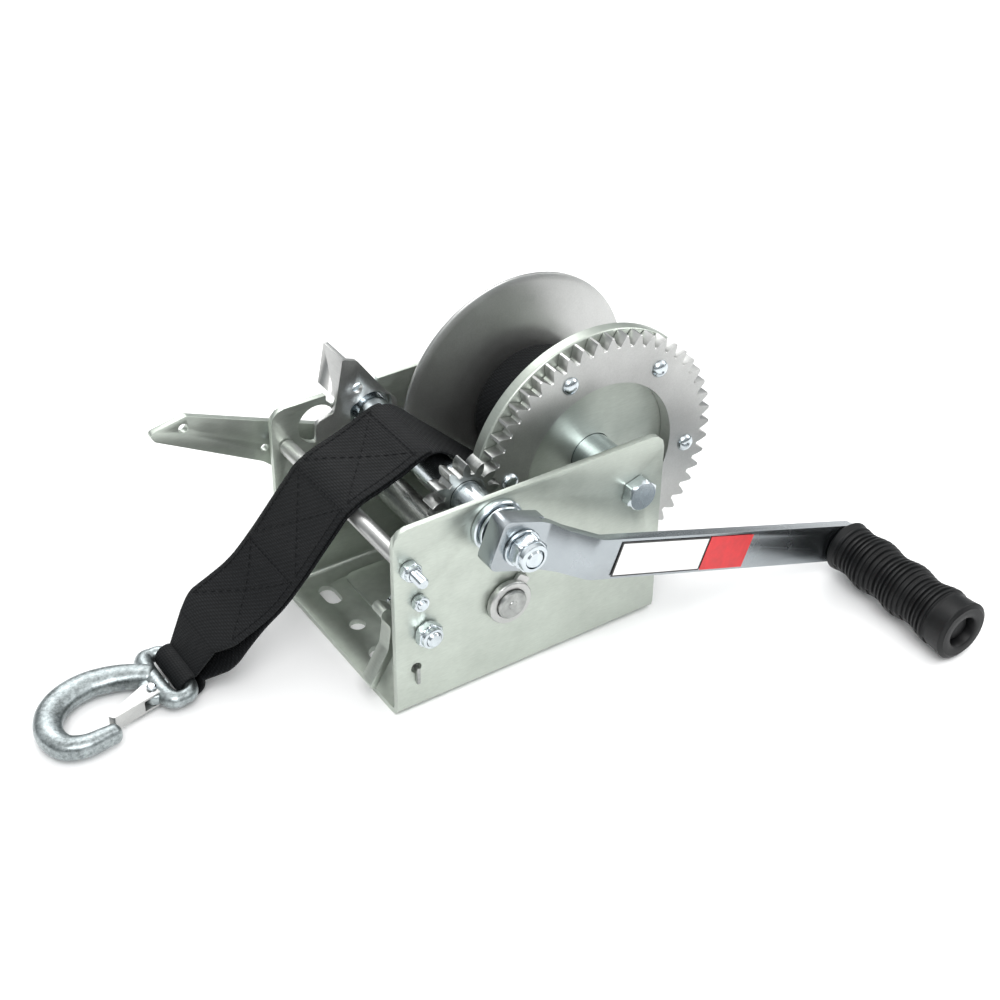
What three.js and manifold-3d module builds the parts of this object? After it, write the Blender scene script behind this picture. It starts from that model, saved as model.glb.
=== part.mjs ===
// Two-speed boat trailer winch: bent steel frame, geared reel with webbing strap and snap hook,
// sliding crank shaft, layshaft, two-way pawl, shift lock and hand brake.
// Millimetres. X runs from the strap outlet to the reel, Y from the crank side to the brake side, Z up.
// The origin is the middle of the underside of the base.
import * as THREE from 'three';
import Module from 'manifold-3d';

const wasm = await Module();
wasm.setup();

// ---- driving sizes ----
const FRAME_LENGTH = 160;
const FRAME_WIDTH = 126;
const FRAME_HEIGHT = 115;
const SHEET = 3.3;
const BEND_RADIUS = 6;
const PLATE_CORNER = 8;
const MODULE = 2.8;
const REEL_TEETH = 50;
const PINION_TEETH = 12;
const LAY_TEETH = 24;
const AXLE_FROM_REAR = 16.6;
const AXLE_HEIGHT = 85.5;
const DRIVE_LIFT = 8.8;
const STRAP_WIDTH = 52;
const STRAP_THICK = 2.2;
const WOUND_TURNS = 5.2;
const CRANK_REACH = 227;
const CRANK_DROP = 20.7;
const GRIP_LENGTH = 86;

// ---- clearances ----
const SEAT = 0.3;
const RUN = 0.4;
const BACKLASH = 0.4;

// ---- derived places ----
const FRONT = -FRAME_LENGTH / 2;
const NEAR_OUT = -FRAME_WIDTH / 2;
const NEAR_IN = NEAR_OUT + SHEET;
const FAR_OUT = FRAME_WIDTH / 2;
const FAR_IN = FAR_OUT - SHEET;
const REEL_CENTRES = MODULE * (REEL_TEETH + PINION_TEETH) / 2;
const LAY_CENTRES = MODULE * (LAY_TEETH + PINION_TEETH) / 2;
const LAY_SPREAD = 2 * Math.asin(LAY_CENTRES / 2 / REEL_CENTRES);
const AXLE = [FRAME_LENGTH / 2 - AXLE_FROM_REAR, AXLE_HEIGHT];
const DRIVE_ANGLE = Math.PI - rad(DRIVE_LIFT);
const LAY_ANGLE = DRIVE_ANGLE + LAY_SPREAD;
const DRIVE = polar(AXLE, REEL_CENTRES, DRIVE_ANGLE);
const LAY = polar(AXLE, REEL_CENTRES, LAY_ANGLE);

// reel, along Y
const GEAR_NEAR = NEAR_OUT + 31;
const GEAR_FACE = 8;
const GEAR_FAR = GEAR_NEAR + GEAR_FACE;
const FLANGE_SHEET = 2.3;
const FLANGE_NEAR = GEAR_FAR + SEAT;
const FLANGE_RADIUS = 73;
const DRUM_RADIUS = 20;
const FLANGE_DISH = 6;
const STRAP_MID = FLANGE_NEAR + FLANGE_SHEET + 5.4 + STRAP_WIDTH / 2;
const FLANGE_FAR = STRAP_MID + STRAP_WIDTH / 2 + 5;
const PINION_FACE = 10;
const PINION_NEAR = GEAR_NEAR - 5;
const LAY_GEAR_NEAR = PINION_NEAR - 17.2;

// round parts
const DRIVE_SHAFT_R = 9;
const LAY_SHAFT_R = 8.3;
const SLEEVE_R = 8;
const AXLE_BOLT_R = 6;
const FRONT_BOLT = [FRONT + 8, FRAME_HEIGHT - 23];
const STOP_SCREW = [FRONT + 13, FRAME_HEIGHT - 44.6];
const PAWL_BOLT = [FRONT + 17.2, 49.3];
const SPRING_HOLE = [FRONT + 11.3, 28.3];
const BRAKE_PIVOT = [-40, 62];
const LOCK_PIVOT = [-40, 81];
const BIG_HOLE = [-53.5, 99.5];

function rad(degrees) {
  return degrees * Math.PI / 180;
}

function polar(centre, radius, angle) {
  return [centre[0] + radius * Math.cos(angle), centre[1] + radius * Math.sin(angle)];
}

// ---- solids ----
function toSolid(geometry) {
  const index = geometry.index ? Array.from(geometry.index.array) : [...Array(geometry.attributes.position.count).keys()];
  const position = geometry.attributes.position.array;
  const keep = new Map();
  const vertices = [];
  const remap = [];
  for (let i = 0; i < position.length / 3; i += 1) {
    const key = [0, 1, 2].map((k) => Math.round(position[i * 3 + k] * 2e4)).join(',');
    if (!keep.has(key)) {
      keep.set(key, vertices.length / 3);
      vertices.push(position[i * 3], position[i * 3 + 1], position[i * 3 + 2]);
    }
    remap.push(keep.get(key));
  }
  const triangles = [];
  for (let i = 0; i < index.length; i += 3) {
    const [a, b, c] = [remap[index[i]], remap[index[i + 1]], remap[index[i + 2]]];
    if (a !== b && b !== c && a !== c) {
      triangles.push(a, b, c);
    }
  }
  let volume = 0;
  for (let i = 0; i < triangles.length; i += 3) {
    const [a, b, c] = [0, 1, 2].map((k) => new THREE.Vector3().fromArray(vertices, triangles[i + k] * 3));
    volume += a.dot(b.cross(c));
  }
  if (volume < 0) {
    for (let i = 0; i < triangles.length; i += 3) {
      [triangles[i + 1], triangles[i + 2]] = [triangles[i + 2], triangles[i + 1]];
    }
  }
  return new wasm.Manifold(new wasm.Mesh({
    numProp: 3,
    vertProperties: new Float32Array(vertices),
    triVerts: new Uint32Array(triangles),
  }));
}

function toGeometry(solid) {
  const mesh = solid.getMesh();
  const geometry = new THREE.BufferGeometry();
  geometry.setAttribute('position', new THREE.BufferAttribute(new Float32Array(mesh.vertProperties), 3));
  geometry.setIndex(new THREE.BufferAttribute(new Uint32Array(mesh.triVerts), 1));
  geometry.computeVertexNormals();
  return geometry;
}

function union(first, ...others) {
  return others.reduce((sum, item) => sum.add(item), first);
}

function cut(solid, ...tools) {
  return tools.reduce((left, tool) => left.subtract(tool), solid);
}

// Outline points are [x, z]; the plate fills y from low to high.
function plate(outline, low, high, holes = []) {
  const shape = new THREE.Shape(outline.map(([x, z]) => new THREE.Vector2(x, z)));
  holes.forEach((hole) => {
    shape.holes.push(new THREE.Path(hole.map(([x, z]) => new THREE.Vector2(x, z))));
  });
  const geometry = new THREE.ExtrudeGeometry(shape, { depth: high - low, bevelEnabled: false });
  geometry.rotateX(Math.PI / 2);
  geometry.translate(0, high, 0);
  return toSolid(geometry);
}

// Outline points are [y, z]; the bar fills x from low to high.
function barAlongX(outline, low, high) {
  const shape = new THREE.Shape(outline.map(([y, z]) => new THREE.Vector2(y, z)));
  const geometry = new THREE.ExtrudeGeometry(shape, { depth: high - low, bevelEnabled: false });
  geometry.applyMatrix4(new THREE.Matrix4().set(0, 0, 1, low, 1, 0, 0, 0, 0, 1, 0, 0, 0, 0, 0, 1));
  return toSolid(geometry);
}

// Outline points are [x, y]; the slab fills z from low to high.
function slab(outline, low, high, holes = []) {
  const shape = new THREE.Shape(outline.map(([x, y]) => new THREE.Vector2(x, y)));
  holes.forEach((hole) => {
    shape.holes.push(new THREE.Path(hole.map(([x, y]) => new THREE.Vector2(x, y))));
  });
  const geometry = new THREE.ExtrudeGeometry(shape, { depth: high - low, bevelEnabled: false });
  geometry.translate(0, 0, low);
  return toSolid(geometry);
}

// Profile points are [radius, y], listed all the way round the section.
function turned(profile, centre, segments = 18) {
  const closed = profile.concat([profile[0]]).map(([r, y]) => new THREE.Vector2(r, y));
  const geometry = new THREE.LatheGeometry(closed, segments);
  geometry.translate(centre[0], 0, centre[1]);
  return toSolid(geometry);
}

function rod(radius, low, high, centre, segments = 16, chamfer = 0) {
  const c = chamfer;
  const profile = [[0, low], [radius - c, low]];
  if (c > 0) {
    profile.push([radius, low + c], [radius, high - c]);
  } else {
    profile.push([radius, high]);
  }
  if (c > 0) {
    profile.push([radius - c, high]);
  }
  profile.push([0, high]);
  return turned(profile, centre, segments);
}

function ring(inner, outer, low, high, centre, segments = 16, chamfer = 0) {
  const c = chamfer;
  const profile = [[inner, low], [outer - c, low]];
  if (c > 0) {
    profile.push([outer, low + c], [outer, high - c], [outer - c, high]);
  } else {
    profile.push([outer, high]);
  }
  profile.push([inner, high]);
  return turned(profile, centre, segments);
}

function circle(centre, radius, count = 24, start = 0) {
  return [...Array(count).keys()].map((i) => polar(centre, radius, start + 2 * Math.PI * i / count));
}

function box(x0, x1, y0, y1, z0, z1) {
  return slab([[x0, y0], [x1, y0], [x1, y1], [x0, y1]], z0, z1);
}

// Rounds each corner of a closed outline by its own radius (third entry of the point).
function rounded(points, steps = 3) {
  const out = [];
  points.forEach((point, i) => {
    const before = points[(i + points.length - 1) % points.length];
    const after = points[(i + 1) % points.length];
    const here = new THREE.Vector2(point[0], point[1]);
    const a = new THREE.Vector2(before[0], before[1]).sub(here).normalize();
    const b = new THREE.Vector2(after[0], after[1]).sub(here).normalize();
    if (!point[2]) {
      out.push([here.x, here.y]);
      return;
    }
    const half = Math.acos(THREE.MathUtils.clamp(a.dot(b), -1, 1)) / 2;
    const room = 0.48 * Math.min(here.distanceTo(new THREE.Vector2(before[0], before[1])),
      here.distanceTo(new THREE.Vector2(after[0], after[1])));
    const reach = Math.min(point[2] / Math.tan(half), room);
    const radius = reach * Math.tan(half);
    const centre = here.clone().add(a.clone().add(b).normalize().multiplyScalar(radius / Math.sin(half)));
    const from = here.clone().add(a.multiplyScalar(reach)).sub(centre);
    const to = here.clone().add(b.multiplyScalar(reach)).sub(centre);
    const turn = Math.atan2(from.x * to.y - from.y * to.x, from.dot(to));
    for (let k = 0; k <= steps; k += 1) {
      const v = from.clone().rotateAround(new THREE.Vector2(), turn * k / steps).add(centre);
      out.push([v.x, v.y]);
    }
  });
  return out;
}

// Band of constant thickness either side of a polyline, as a closed outline.
function band(path, thickness) {
  const left = [];
  const right = [];
  path.forEach((point, i) => {
    const a = path[Math.max(0, i - 1)];
    const b = path[Math.min(path.length - 1, i + 1)];
    const here = new THREE.Vector2(point[0], point[1]);
    const inward = i > 0 ? here.clone().sub(new THREE.Vector2(a[0], a[1])).normalize() : null;
    const onward = i < path.length - 1 ? new THREE.Vector2(b[0], b[1]).sub(here).normalize() : null;
    const first = inward || onward;
    const second = onward || inward;
    const normal = new THREE.Vector2(-first.y - second.y, first.x + second.x).normalize();
    const stretch = 1 / Math.max(0.5, normal.dot(new THREE.Vector2(-first.y, first.x)));
    left.push([here.x + normal.x * thickness / 2 * stretch, here.y + normal.y * thickness / 2 * stretch]);
    right.push([here.x - normal.x * thickness / 2 * stretch, here.y - normal.y * thickness / 2 * stretch]);
  });
  return left.concat(right.reverse());
}

// Smooth open curve through points.
function smooth(points, count) {
  const curve = new THREE.CatmullRomCurve3(points.map(([x, z]) => new THREE.Vector3(x, z, 0)), false, 'centripetal');
  return curve.getSpacedPoints(count).map((p) => [p.x, p.y]);
}

function hexagon(centre, acrossFlats, turn = 0) {
  return circle(centre, acrossFlats / 2 / Math.cos(Math.PI / 6), 6, turn);
}

function hexNut(centre, acrossFlats, bore, low, high, turn = 0) {
  return plate(hexagon(centre, acrossFlats, turn), low, high, [circle(centre, bore, 14)]);
}

// Nut with a round collar on the end facing away from the joint.
function lockNut(centre, acrossFlats, bore, low, high, collarAtLow, turn = 0) {
  const split = (high - low) * 0.3;
  const hexLow = collarAtLow ? low + split : low;
  const hexHigh = collarAtLow ? high : high - split;
  const collarLow = collarAtLow ? low : high - split - 0.2;
  const collarHigh = collarAtLow ? low + split + 0.2 : high;
  const collar = ring(bore, acrossFlats * 0.47, collarLow, collarHigh, centre, 14, 0);
  return union(hexNut(centre, acrossFlats, bore, hexLow, hexHigh, turn), collar);
}

// Hex bolt along Y; the head lies outside headFace, away from the end.
function hexBolt(centre, acrossFlats, radius, headFace, headHeight, end, turn = 0) {
  const out = end > headFace ? -1 : 1;
  const a = headFace + out * headHeight;
  const head = plate(hexagon(centre, acrossFlats, turn), Math.min(a, headFace), Math.max(a, headFace));
  const shank = rod(radius, Math.min(headFace - 0.5 * -out, end), Math.max(headFace - 0.5 * -out, end), centre, 20);
  return union(head, shank);
}

const PRESSURE = rad(25);

// Spur gear outline: each flank is the chord of its involute, then straight down to the root.
function gearOutline(centre, teeth, turn) {
  const pitch = MODULE * teeth / 2;
  const tip = pitch + MODULE;
  const root = pitch - 1.25 * MODULE;
  const base = pitch * Math.cos(PRESSURE);
  const unwound = (r) => {
    const a = Math.acos(Math.min(1, base / r));
    return Math.tan(a) - a;
  };
  const half = Math.PI / 2 / teeth - BACKLASH / 2 / pitch + unwound(pitch);
  const low = Math.max(base, root + 0.2);
  const flank = [[root, half - unwound(low) + 0.02]];
  for (let k = 0; k <= 1; k += 1) {
    const r = low + (tip - low) * k;
    flank.push([r, half - unwound(r)]);
  }
  const points = [];
  for (let i = 0; i < teeth; i += 1) {
    const mid = turn + 2 * Math.PI * i / teeth;
    flank.forEach(([r, a]) => points.push(polar(centre, r, mid - a)));
    flank.slice().reverse().forEach(([r, a]) => points.push(polar(centre, r, mid + a)));
  }
  return points;
}

// Phase that puts a tooth space of the follower on the line of centres opposite a driver tooth.
function meshingTurn(driverTurn, driverTeeth, followerTeeth, angleToFollower) {
  const driverOffset = ((angleToFollower - driverTurn) / (2 * Math.PI / driverTeeth)) % 1;
  return angleToFollower + Math.PI + (driverOffset + 0.5) * 2 * Math.PI / followerTeeth;
}

const REEL_TURN = 0;
const LAY_PINION_TURN = meshingTurn(REEL_TURN, REEL_TEETH, PINION_TEETH, LAY_ANGLE);
const DRIVE_PINION_TURN = meshingTurn(REEL_TURN, REEL_TEETH, PINION_TEETH, DRIVE_ANGLE);

// ---- frame ----
function frameChannel() {
  const half = FRAME_WIDTH / 2;
  const outer = [[-half, FRAME_HEIGHT], [-half, 0, BEND_RADIUS], [half, 0, BEND_RADIUS], [half, FRAME_HEIGHT]];
  const inner = [[half - SHEET, FRAME_HEIGHT], [half - SHEET, SHEET, BEND_RADIUS - SHEET],
    [-half + SHEET, SHEET, BEND_RADIUS - SHEET], [-half + SHEET, FRAME_HEIGHT]];
  const section = rounded(outer).concat(rounded(inner));
  const side = rounded([[FRONT, -1], [-FRONT, -1], [-FRONT, FRAME_HEIGHT, PLATE_CORNER],
    [FRONT, FRAME_HEIGHT, PLATE_CORNER]]);
  let body = barAlongX(section, FRONT, -FRONT).intersect(plate(side, -half - 1, half + 1));
  const panel = [[-49, -48, 6], [54, -48, 6], [54, 48, 6], [-49, 48, 6]];
  body = union(body, slab(rounded(panel), SHEET - 0.5, SHEET + 1.5));
  const throughBoth = [
    rod(11.7 + SEAT, -half - 1, half + 1, DRIVE, 24),
    rod(10.4 + SEAT, -half - 1, half + 1, LAY, 24),
    rod(AXLE_BOLT_R + SEAT, -half - 1, half + 1, AXLE, 24),
    rod(3 + SEAT, -half - 1, half + 1, FRONT_BOLT, 16),
  ];
  const nearOnly = [
    rod(2.5 + SEAT, -half - 1, 0, STOP_SCREW, 16),
    rod(4 + SEAT, -half - 1, 0, PAWL_BOLT, 16),
    rod(3, -half - 1, 0, SPRING_HOLE, 16),
  ];
  const notch = rounded([[-47.5, FRAME_HEIGHT + 9], [-47.5, FRAME_HEIGHT - 3.4, 0.6], [-43, FRAME_HEIGHT - 8, 1.5],
    [-16.3, FRAME_HEIGHT - 8, 3], [-16.3, FRAME_HEIGHT + 9]]);
  const window = rounded([[-21, 67, 3], [-2, 67, 3], [-2, 84, 3], [-21, 84, 3]]);
  const farOnly = [
    rod(11.2, 0, half + 1, BIG_HOLE, 24),
    rod(4 + SEAT, 0, half + 1, BRAKE_PIVOT, 16),
    rod(2.5 + SEAT, 0, half + 1, LOCK_PIVOT, 16),
    plate(notch, 0, half + 1),
    plate(window, 0, half + 1),
  ];
  const base = [
    slab(rounded([[-67, 30, 4.4], [-58, 30, 4.4], [-58, 47, 4.4], [-67, 47, 4.4]]), -1, 9),
    slab(circle([-62.5, 8.5], 4.5, 20), -1, 9),
    slab(circle([-63.5, -18], 6.5, 24), -1, 9),
    slab(circle([66, 30], 5.5, 20), -1, 9),
    slab(circle([66, -30], 5.5, 20), -1, 9),
  ];
  return cut(body, ...throughBoth, ...nearOnly, ...farOnly, ...base);
}

// Flanged bush: the flange bears on the outer face of a side plate, the barrel lines its hole.
function sideBush(centre, bore, barrel, flange, proud, near, reachIn, lug) {
  const s = near ? -1 : 1;
  const face = s * (FAR_OUT + SEAT);
  const inside = s * (FAR_IN - reachIn);
  const sorted = (a, b) => [Math.min(a, b), Math.max(a, b)];
  let bush = union(
    ring(bore, flange, ...sorted(face, s * (FAR_OUT + proud)), centre, 20, 0.6),
    ring(bore, barrel, ...sorted(inside, face + s * 0.6), centre, 20),
  );
  if (lug) {
    const ear = rounded([[0, -4, 1], [15.5, -4, 1.5], [15.5, 4, 1.5], [0, 4, 1]]).map(([a, b]) => {
      const c = Math.cos(rad(52));
      const d = Math.sin(rad(52));
      return [centre[0] + a * c - b * d, centre[1] + a * d + b * c];
    });
    const ends = sorted(face, s * (FAR_OUT + proud * 0.55));
    bush = union(bush, cut(plate(ear, ...ends), rod(bore + 1, ends[0] - 1, ends[1] + 1, centre, 24)));
  }
  return bush;
}

function frontSpacerTube() {
  return ring(3 + SEAT, 4.4, NEAR_IN + SEAT, FAR_IN - SEAT, FRONT_BOLT, 20);
}

function frontBolt() {
  return hexBolt(FRONT_BOLT, 10, 3, FAR_OUT + SEAT, 4, NEAR_OUT - 14.5, 0.2);
}

function stopScrew() {
  const head = rod(4.4, NEAR_IN + SEAT, NEAR_IN + SEAT + 7, STOP_SCREW, 20, 0.6);
  const shank = rod(2.5, NEAR_OUT - 5.4, NEAR_IN + 1, STOP_SCREW, 16);
  return union(head, shank);
}

function axleSleeve() {
  return ring(AXLE_BOLT_R + SEAT, SLEEVE_R, NEAR_IN + SEAT, FAR_IN - SEAT, AXLE, 28);
}

// ---- reel ----
function reelDrum() {
  const low = NEAR_IN + SEAT + RUN;
  const high = FAR_IN - SEAT - RUN;
  const profile = [
    [SLEEVE_R + RUN, low], [12.3, low], [12.3, FLANGE_NEAR + FLANGE_SHEET + SEAT],
    [DRUM_RADIUS, FLANGE_NEAR + FLANGE_SHEET + SEAT], [DRUM_RADIUS, FLANGE_FAR - SEAT],
    [12.3, FLANGE_FAR - SEAT], [12.3, high], [SLEEVE_R + RUN, high],
  ];
  const slot = [[AXLE[0] - 3, AXLE[1] + 14], [AXLE[0] + 3, AXLE[1] + 14], [AXLE[0] + 3, AXLE[1] + 24],
    [AXLE[0] - 3, AXLE[1] + 24]];
  return cut(turned(profile, AXLE, 32), plate(slot, STRAP_MID - STRAP_WIDTH / 2 - 2, STRAP_MID + STRAP_WIDTH / 2 + 2));
}

function reelFlangeNear() {
  const y = FLANGE_NEAR;
  const t = FLANGE_SHEET;
  const r = FLANGE_RADIUS;
  const profile = [
    [12.3 + SEAT, y], [r - 1.6, y], [r - 0.4, y + 0.7], [r, y + 2], [r, y + 6.4], [r - 0.9, y + 7],
    [r - t, y + 6.4], [r - t - 0.2, y + t + 1.2], [r - t - 1.5, y + t], [12.3 + SEAT, y + t],
  ];
  return turned(profile, AXLE, 36);
}

function reelFlangeFar() {
  const y = FLANGE_FAR;
  const t = FLANGE_SHEET;
  const r = FLANGE_RADIUS - 0.8;
  const d = FLANGE_DISH;
  const profile = [
    [12.3 + SEAT, y], [46, y], [49, y + 0.6], [r - 1, y + d - 0.4], [r, y + d + 0.6], [r - 0.4, y + d + t + 0.2],
    [r - 1.4, y + d + t], [48, y + t + 0.8], [45, y + t], [12.3 + SEAT, y + t],
  ];
  return turned(profile, AXLE, 36);
}

const RIVET_COUNT = 6;
const RIVET_CIRCLE = 57.5;

function rivetPlace(i) {
  return polar(AXLE, RIVET_CIRCLE, rad(-8.5 + 60 * i));
}

function reelGear() {
  const outline = gearOutline(AXLE, REEL_TEETH, REEL_TURN);
  const holes = [circle(AXLE, 46, 32).reverse()];
  for (let i = 0; i < RIVET_COUNT; i += 1) {
    holes.push(circle(rivetPlace(i), 3 + SEAT, 10).reverse());
  }
  return plate(outline, GEAR_NEAR, GEAR_FAR, holes);
}

function gearRivet(i) {
  const head = [
    [0, GEAR_NEAR - 3.1], [2.6, GEAR_NEAR - 2.8], [4.2, GEAR_NEAR - 1.9], [5, GEAR_NEAR - SEAT],
    [3, GEAR_NEAR - SEAT], [3, FLANGE_NEAR - SEAT], [0, FLANGE_NEAR - SEAT],
  ];
  return turned(head, rivetPlace(i), 14);
}

// Spiral wound from the drum outwards; its last turn ends where the free strap leaves it, low at the front.
function strapWinding() {
  const inner = DRUM_RADIUS + 0.6 + STRAP_THICK / 2;
  const pitch = STRAP_THICK + 0.6;
  const count = Math.round(WOUND_TURNS * 18);
  const leaves = rad(-133.7);
  const path = [];
  for (let i = 0; i <= count; i += 1) {
    const turned = 2 * Math.PI * WOUND_TURNS * (1 - i / count);
    const r = inner + pitch * (WOUND_TURNS - turned / (2 * Math.PI));
    path.push(polar(AXLE, r, leaves + turned));
  }
  return plate(band(path, STRAP_THICK), STRAP_MID - STRAP_WIDTH / 2, STRAP_MID + STRAP_WIDTH / 2);
}

// ---- layshaft ----
function layshaft() {
  return cut(
    rod(LAY_SHAFT_R, NEAR_OUT - 6.5, FAR_OUT + 6.5, LAY, 24, 0.7),
    ring(LAY_SHAFT_R - 1, LAY_SHAFT_R + 2, FAR_OUT + 4.9, FAR_OUT + 6.1, LAY, 24),
  );
}

function shaftGear(centre, teeth, bore, low, high, turn) {
  return plate(gearOutline(centre, teeth, turn), low, high, [circle(centre, bore, 20).reverse()]);
}

function layGear() {
  const holes = [circle(LAY, LAY_SHAFT_R + SEAT, 20).reverse()];
  return plate(gearOutline(LAY, LAY_TEETH, 0.1), LAY_GEAR_NEAR, LAY_GEAR_NEAR + 8, holes);
}

function retainingRing(centre, inner, outer, low, high, gapAngle) {
  const points = [];
  const half = rad(18);
  for (let k = 0; k <= 24; k += 1) {
    points.push(polar(centre, outer, gapAngle + half + (2 * Math.PI - 2 * half) * k / 24));
  }
  for (let k = 24; k >= 0; k -= 1) {
    points.push(polar(centre, inner, gapAngle + half + (2 * Math.PI - 2 * half) * k / 24));
  }
  return plate(points, low, high);
}

// ---- drive shaft and crank ----
const LOCK_NEAR = FAR_IN - 3.2;
const LOCK_SHEET = 2.5;
const HUB_FACE = NEAR_OUT - 22;
const ARM_THICK = 5.5;
const NUT_HEIGHT = 12;

function driveShaft() {
  const y0 = HUB_FACE - NUT_HEIGHT - 0.5;
  const y1 = NEAR_OUT - 8;
  const shoulder = HUB_FACE + ARM_THICK + SEAT;
  const groove = [LOCK_NEAR - 1.2, LOCK_NEAR + LOCK_SHEET + 1.2];
  const profile = [
    [0, y0], [4.2, y0], [5, y0 + 0.8], [5, shoulder], [7, shoulder], [7, y1], [DRIVE_SHAFT_R, y1 + 1],
    [DRIVE_SHAFT_R, groove[0]], [6.4, groove[0]], [6.4, groove[1]], [DRIVE_SHAFT_R, groove[1]],
    [DRIVE_SHAFT_R, FAR_OUT + 4.6], [DRIVE_SHAFT_R - 0.8, FAR_OUT + 5.4], [0, FAR_OUT + 5.4],
  ];
  return turned(profile, DRIVE, 20);
}

function crankFrame(points) {
  const c = Math.cos(rad(CRANK_DROP));
  const s = Math.sin(rad(CRANK_DROP));
  return points.map(([u, v]) => [DRIVE[0] + u * c + v * s, DRIVE[1] - u * s + v * c]);
}

// Solid standing on the crank arm: outline [along arm, y], width across the arm.
function acrossArm(outline, width) {
  const shape = new THREE.Shape(outline.map(([u, y]) => new THREE.Vector2(u, y)));
  const geometry = new THREE.ExtrudeGeometry(shape, { depth: width, bevelEnabled: false });
  geometry.translate(0, 0, -width / 2);
  geometry.rotateY(rad(CRANK_DROP));
  geometry.translate(DRIVE[0], 0, DRIVE[1]);
  return toSolid(geometry);
}

const ARM_WIDTH = 22.6;
const HUB_BACK = -14.5;
const ARM_OUT = 14.8;
const ARM_TILT = 8;

function armPath() {
  const y = HUB_FACE + ARM_THICK / 2;
  return [[HUB_BACK, y], [14, y], [37, y - ARM_OUT], [CRANK_REACH + 13, y - ARM_OUT + ARM_TILT]];
}

function armY(u) {
  const path = armPath();
  const t = (u - path[2][0]) / (path[3][0] - path[2][0]);
  return path[2][1] + t * (path[3][1] - path[2][1]);
}

function crankArm() {
  const path = armPath();
  const bent = rounded(path.map(([u, y], i) => [u, y, i === 1 || i === 2 ? 7 : 0]), 4);
  const strip = acrossArm(band(bent, ARM_THICK), ARM_WIDTH + 6);
  const across = ARM_WIDTH / 2;
  const hub = 13.5;
  const outline = rounded([
    [HUB_BACK, -hub, 4], [8, -hub, 6], [22, -across, 6], [CRANK_REACH + 12, -across, 11],
    [CRANK_REACH + 12, across, 11], [22, across, 6], [8, hub, 6], [HUB_BACK, hub, 4],
  ]);
  const y = HUB_FACE;
  const flange = crankFrame(rounded([[HUB_BACK, -hub, 4], [13, -hub, 1], [13, hub, 1], [HUB_BACK, hub, 4]]));
  const hollow = crankFrame([[HUB_BACK + 3.4, -hub + 3.4], [20, -hub + 3.4], [20, hub - 3.4],
    [HUB_BACK + 3.4, hub - 3.4]]);
  const skirt = cut(plate(flange, y + ARM_THICK - 0.6, y + 11.5), plate(hollow, y + ARM_THICK - 2, y + 13));
  const arm = union(strip.intersect(plate(crankFrame(outline), -140, 0)), skirt);
  const pin = crankFrame([[CRANK_REACH, 0]])[0];
  return cut(arm, rod(5 + SEAT, y - 2, y + 20, DRIVE, 24), rod(5 + SEAT, -140, 0, pin, 20));
}

function gripSpindle() {
  const pin = crankFrame([[CRANK_REACH, 0]])[0];
  const y = armY(CRANK_REACH);
  const back = y + ARM_THICK / 2 + 0.6;
  const front = y - ARM_THICK / 2 - GRIP_LENGTH - 1;
  const profile = [
    [0, front], [7.4, front], [7.4, front + 2.4], [5, front + 2.4], [5, back + SEAT],
    [8, back + SEAT], [8, back + 2], [6.6, back + 3], [0, back + 3],
  ];
  return turned(profile, pin, 24);
}

function grip() {
  const pin = crankFrame([[CRANK_REACH, 0]])[0];
  const root = armY(CRANK_REACH) - ARM_THICK / 2 - 1.2;
  const outer = [];
  const steps = 13;
  for (let i = 0; i <= steps; i += 1) {
    const t = i / steps;
    const wave = 0.9 * Math.cos(2 * Math.PI * (t * 3.6 + 0.05));
    const flare = 2.6 * Math.pow(Math.max(0, (t - 0.7) / 0.3), 1.6);
    outer.push([14.1 + 0.7 * t + wave * (t < 0.85 ? 1 : 0.3) + flare, root - t * (GRIP_LENGTH + 4)]);
  }
  const end = root - (GRIP_LENGTH + 4);
  outer[steps][1] = end + 2.2;
  outer[steps - 1][1] = end + 5.4;
  const profile = [
    [5 + RUN, root], [12.6, root], ...outer, [14.8, end + 0.5], [12.5, end], [8.6, end], [8.6, end + 7.5],
    [5 + RUN, end + 7.5],
  ];
  return turned(profile, pin, 18);
}

function crankLabel() {
  const from = 52;
  const to = 142;
  const gap = 0.25;
  const half = 9.4;
  const front = (u) => armY(u) - ARM_THICK / 2 - gap;
  return acrossArm([[from, front(from)], [to, front(to)], [to, front(to) - 0.4], [from, front(from) - 0.4]], half * 2);
}

// ---- pawl ----
function pawl() {
  const outline = rounded([
    [-69.8, 41.5, 3], [-58.5, 41, 3], [-53.7, 46.2, 0.6], [-52.9, 50.2, 0.6], [-57.6, 56.5, 4], [-68.5, 57, 3],
  ], 4);
  const body = plate(outline, LAY_GEAR_NEAR, LAY_GEAR_NEAR + 8);
  const lever = rounded([[-71.6, 56, 1], [-77.5, 60.5, 3], [-80.5, 56.5, 3], [-74.5, 47, 8], [-76.6, 33, 6],
    [-88, 13.5, 1.6], [-84.6, 11.5, 1.6], [-72.2, 32, 8], [-67, 42, 1], [-67, 56, 1]], 4);
  return cut(
    union(body, plate(lever, LAY_GEAR_NEAR + 5, LAY_GEAR_NEAR + 14)),
    rod(4 + RUN, NEAR_OUT, 0, PAWL_BOLT, 20),
  );
}

function pawlBolt() {
  const face = LAY_GEAR_NEAR + 14 + RUN;
  return hexBolt(PAWL_BOLT, 13, 4, face, 5, NEAR_OUT - 9.2, 0.4);
}

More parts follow.
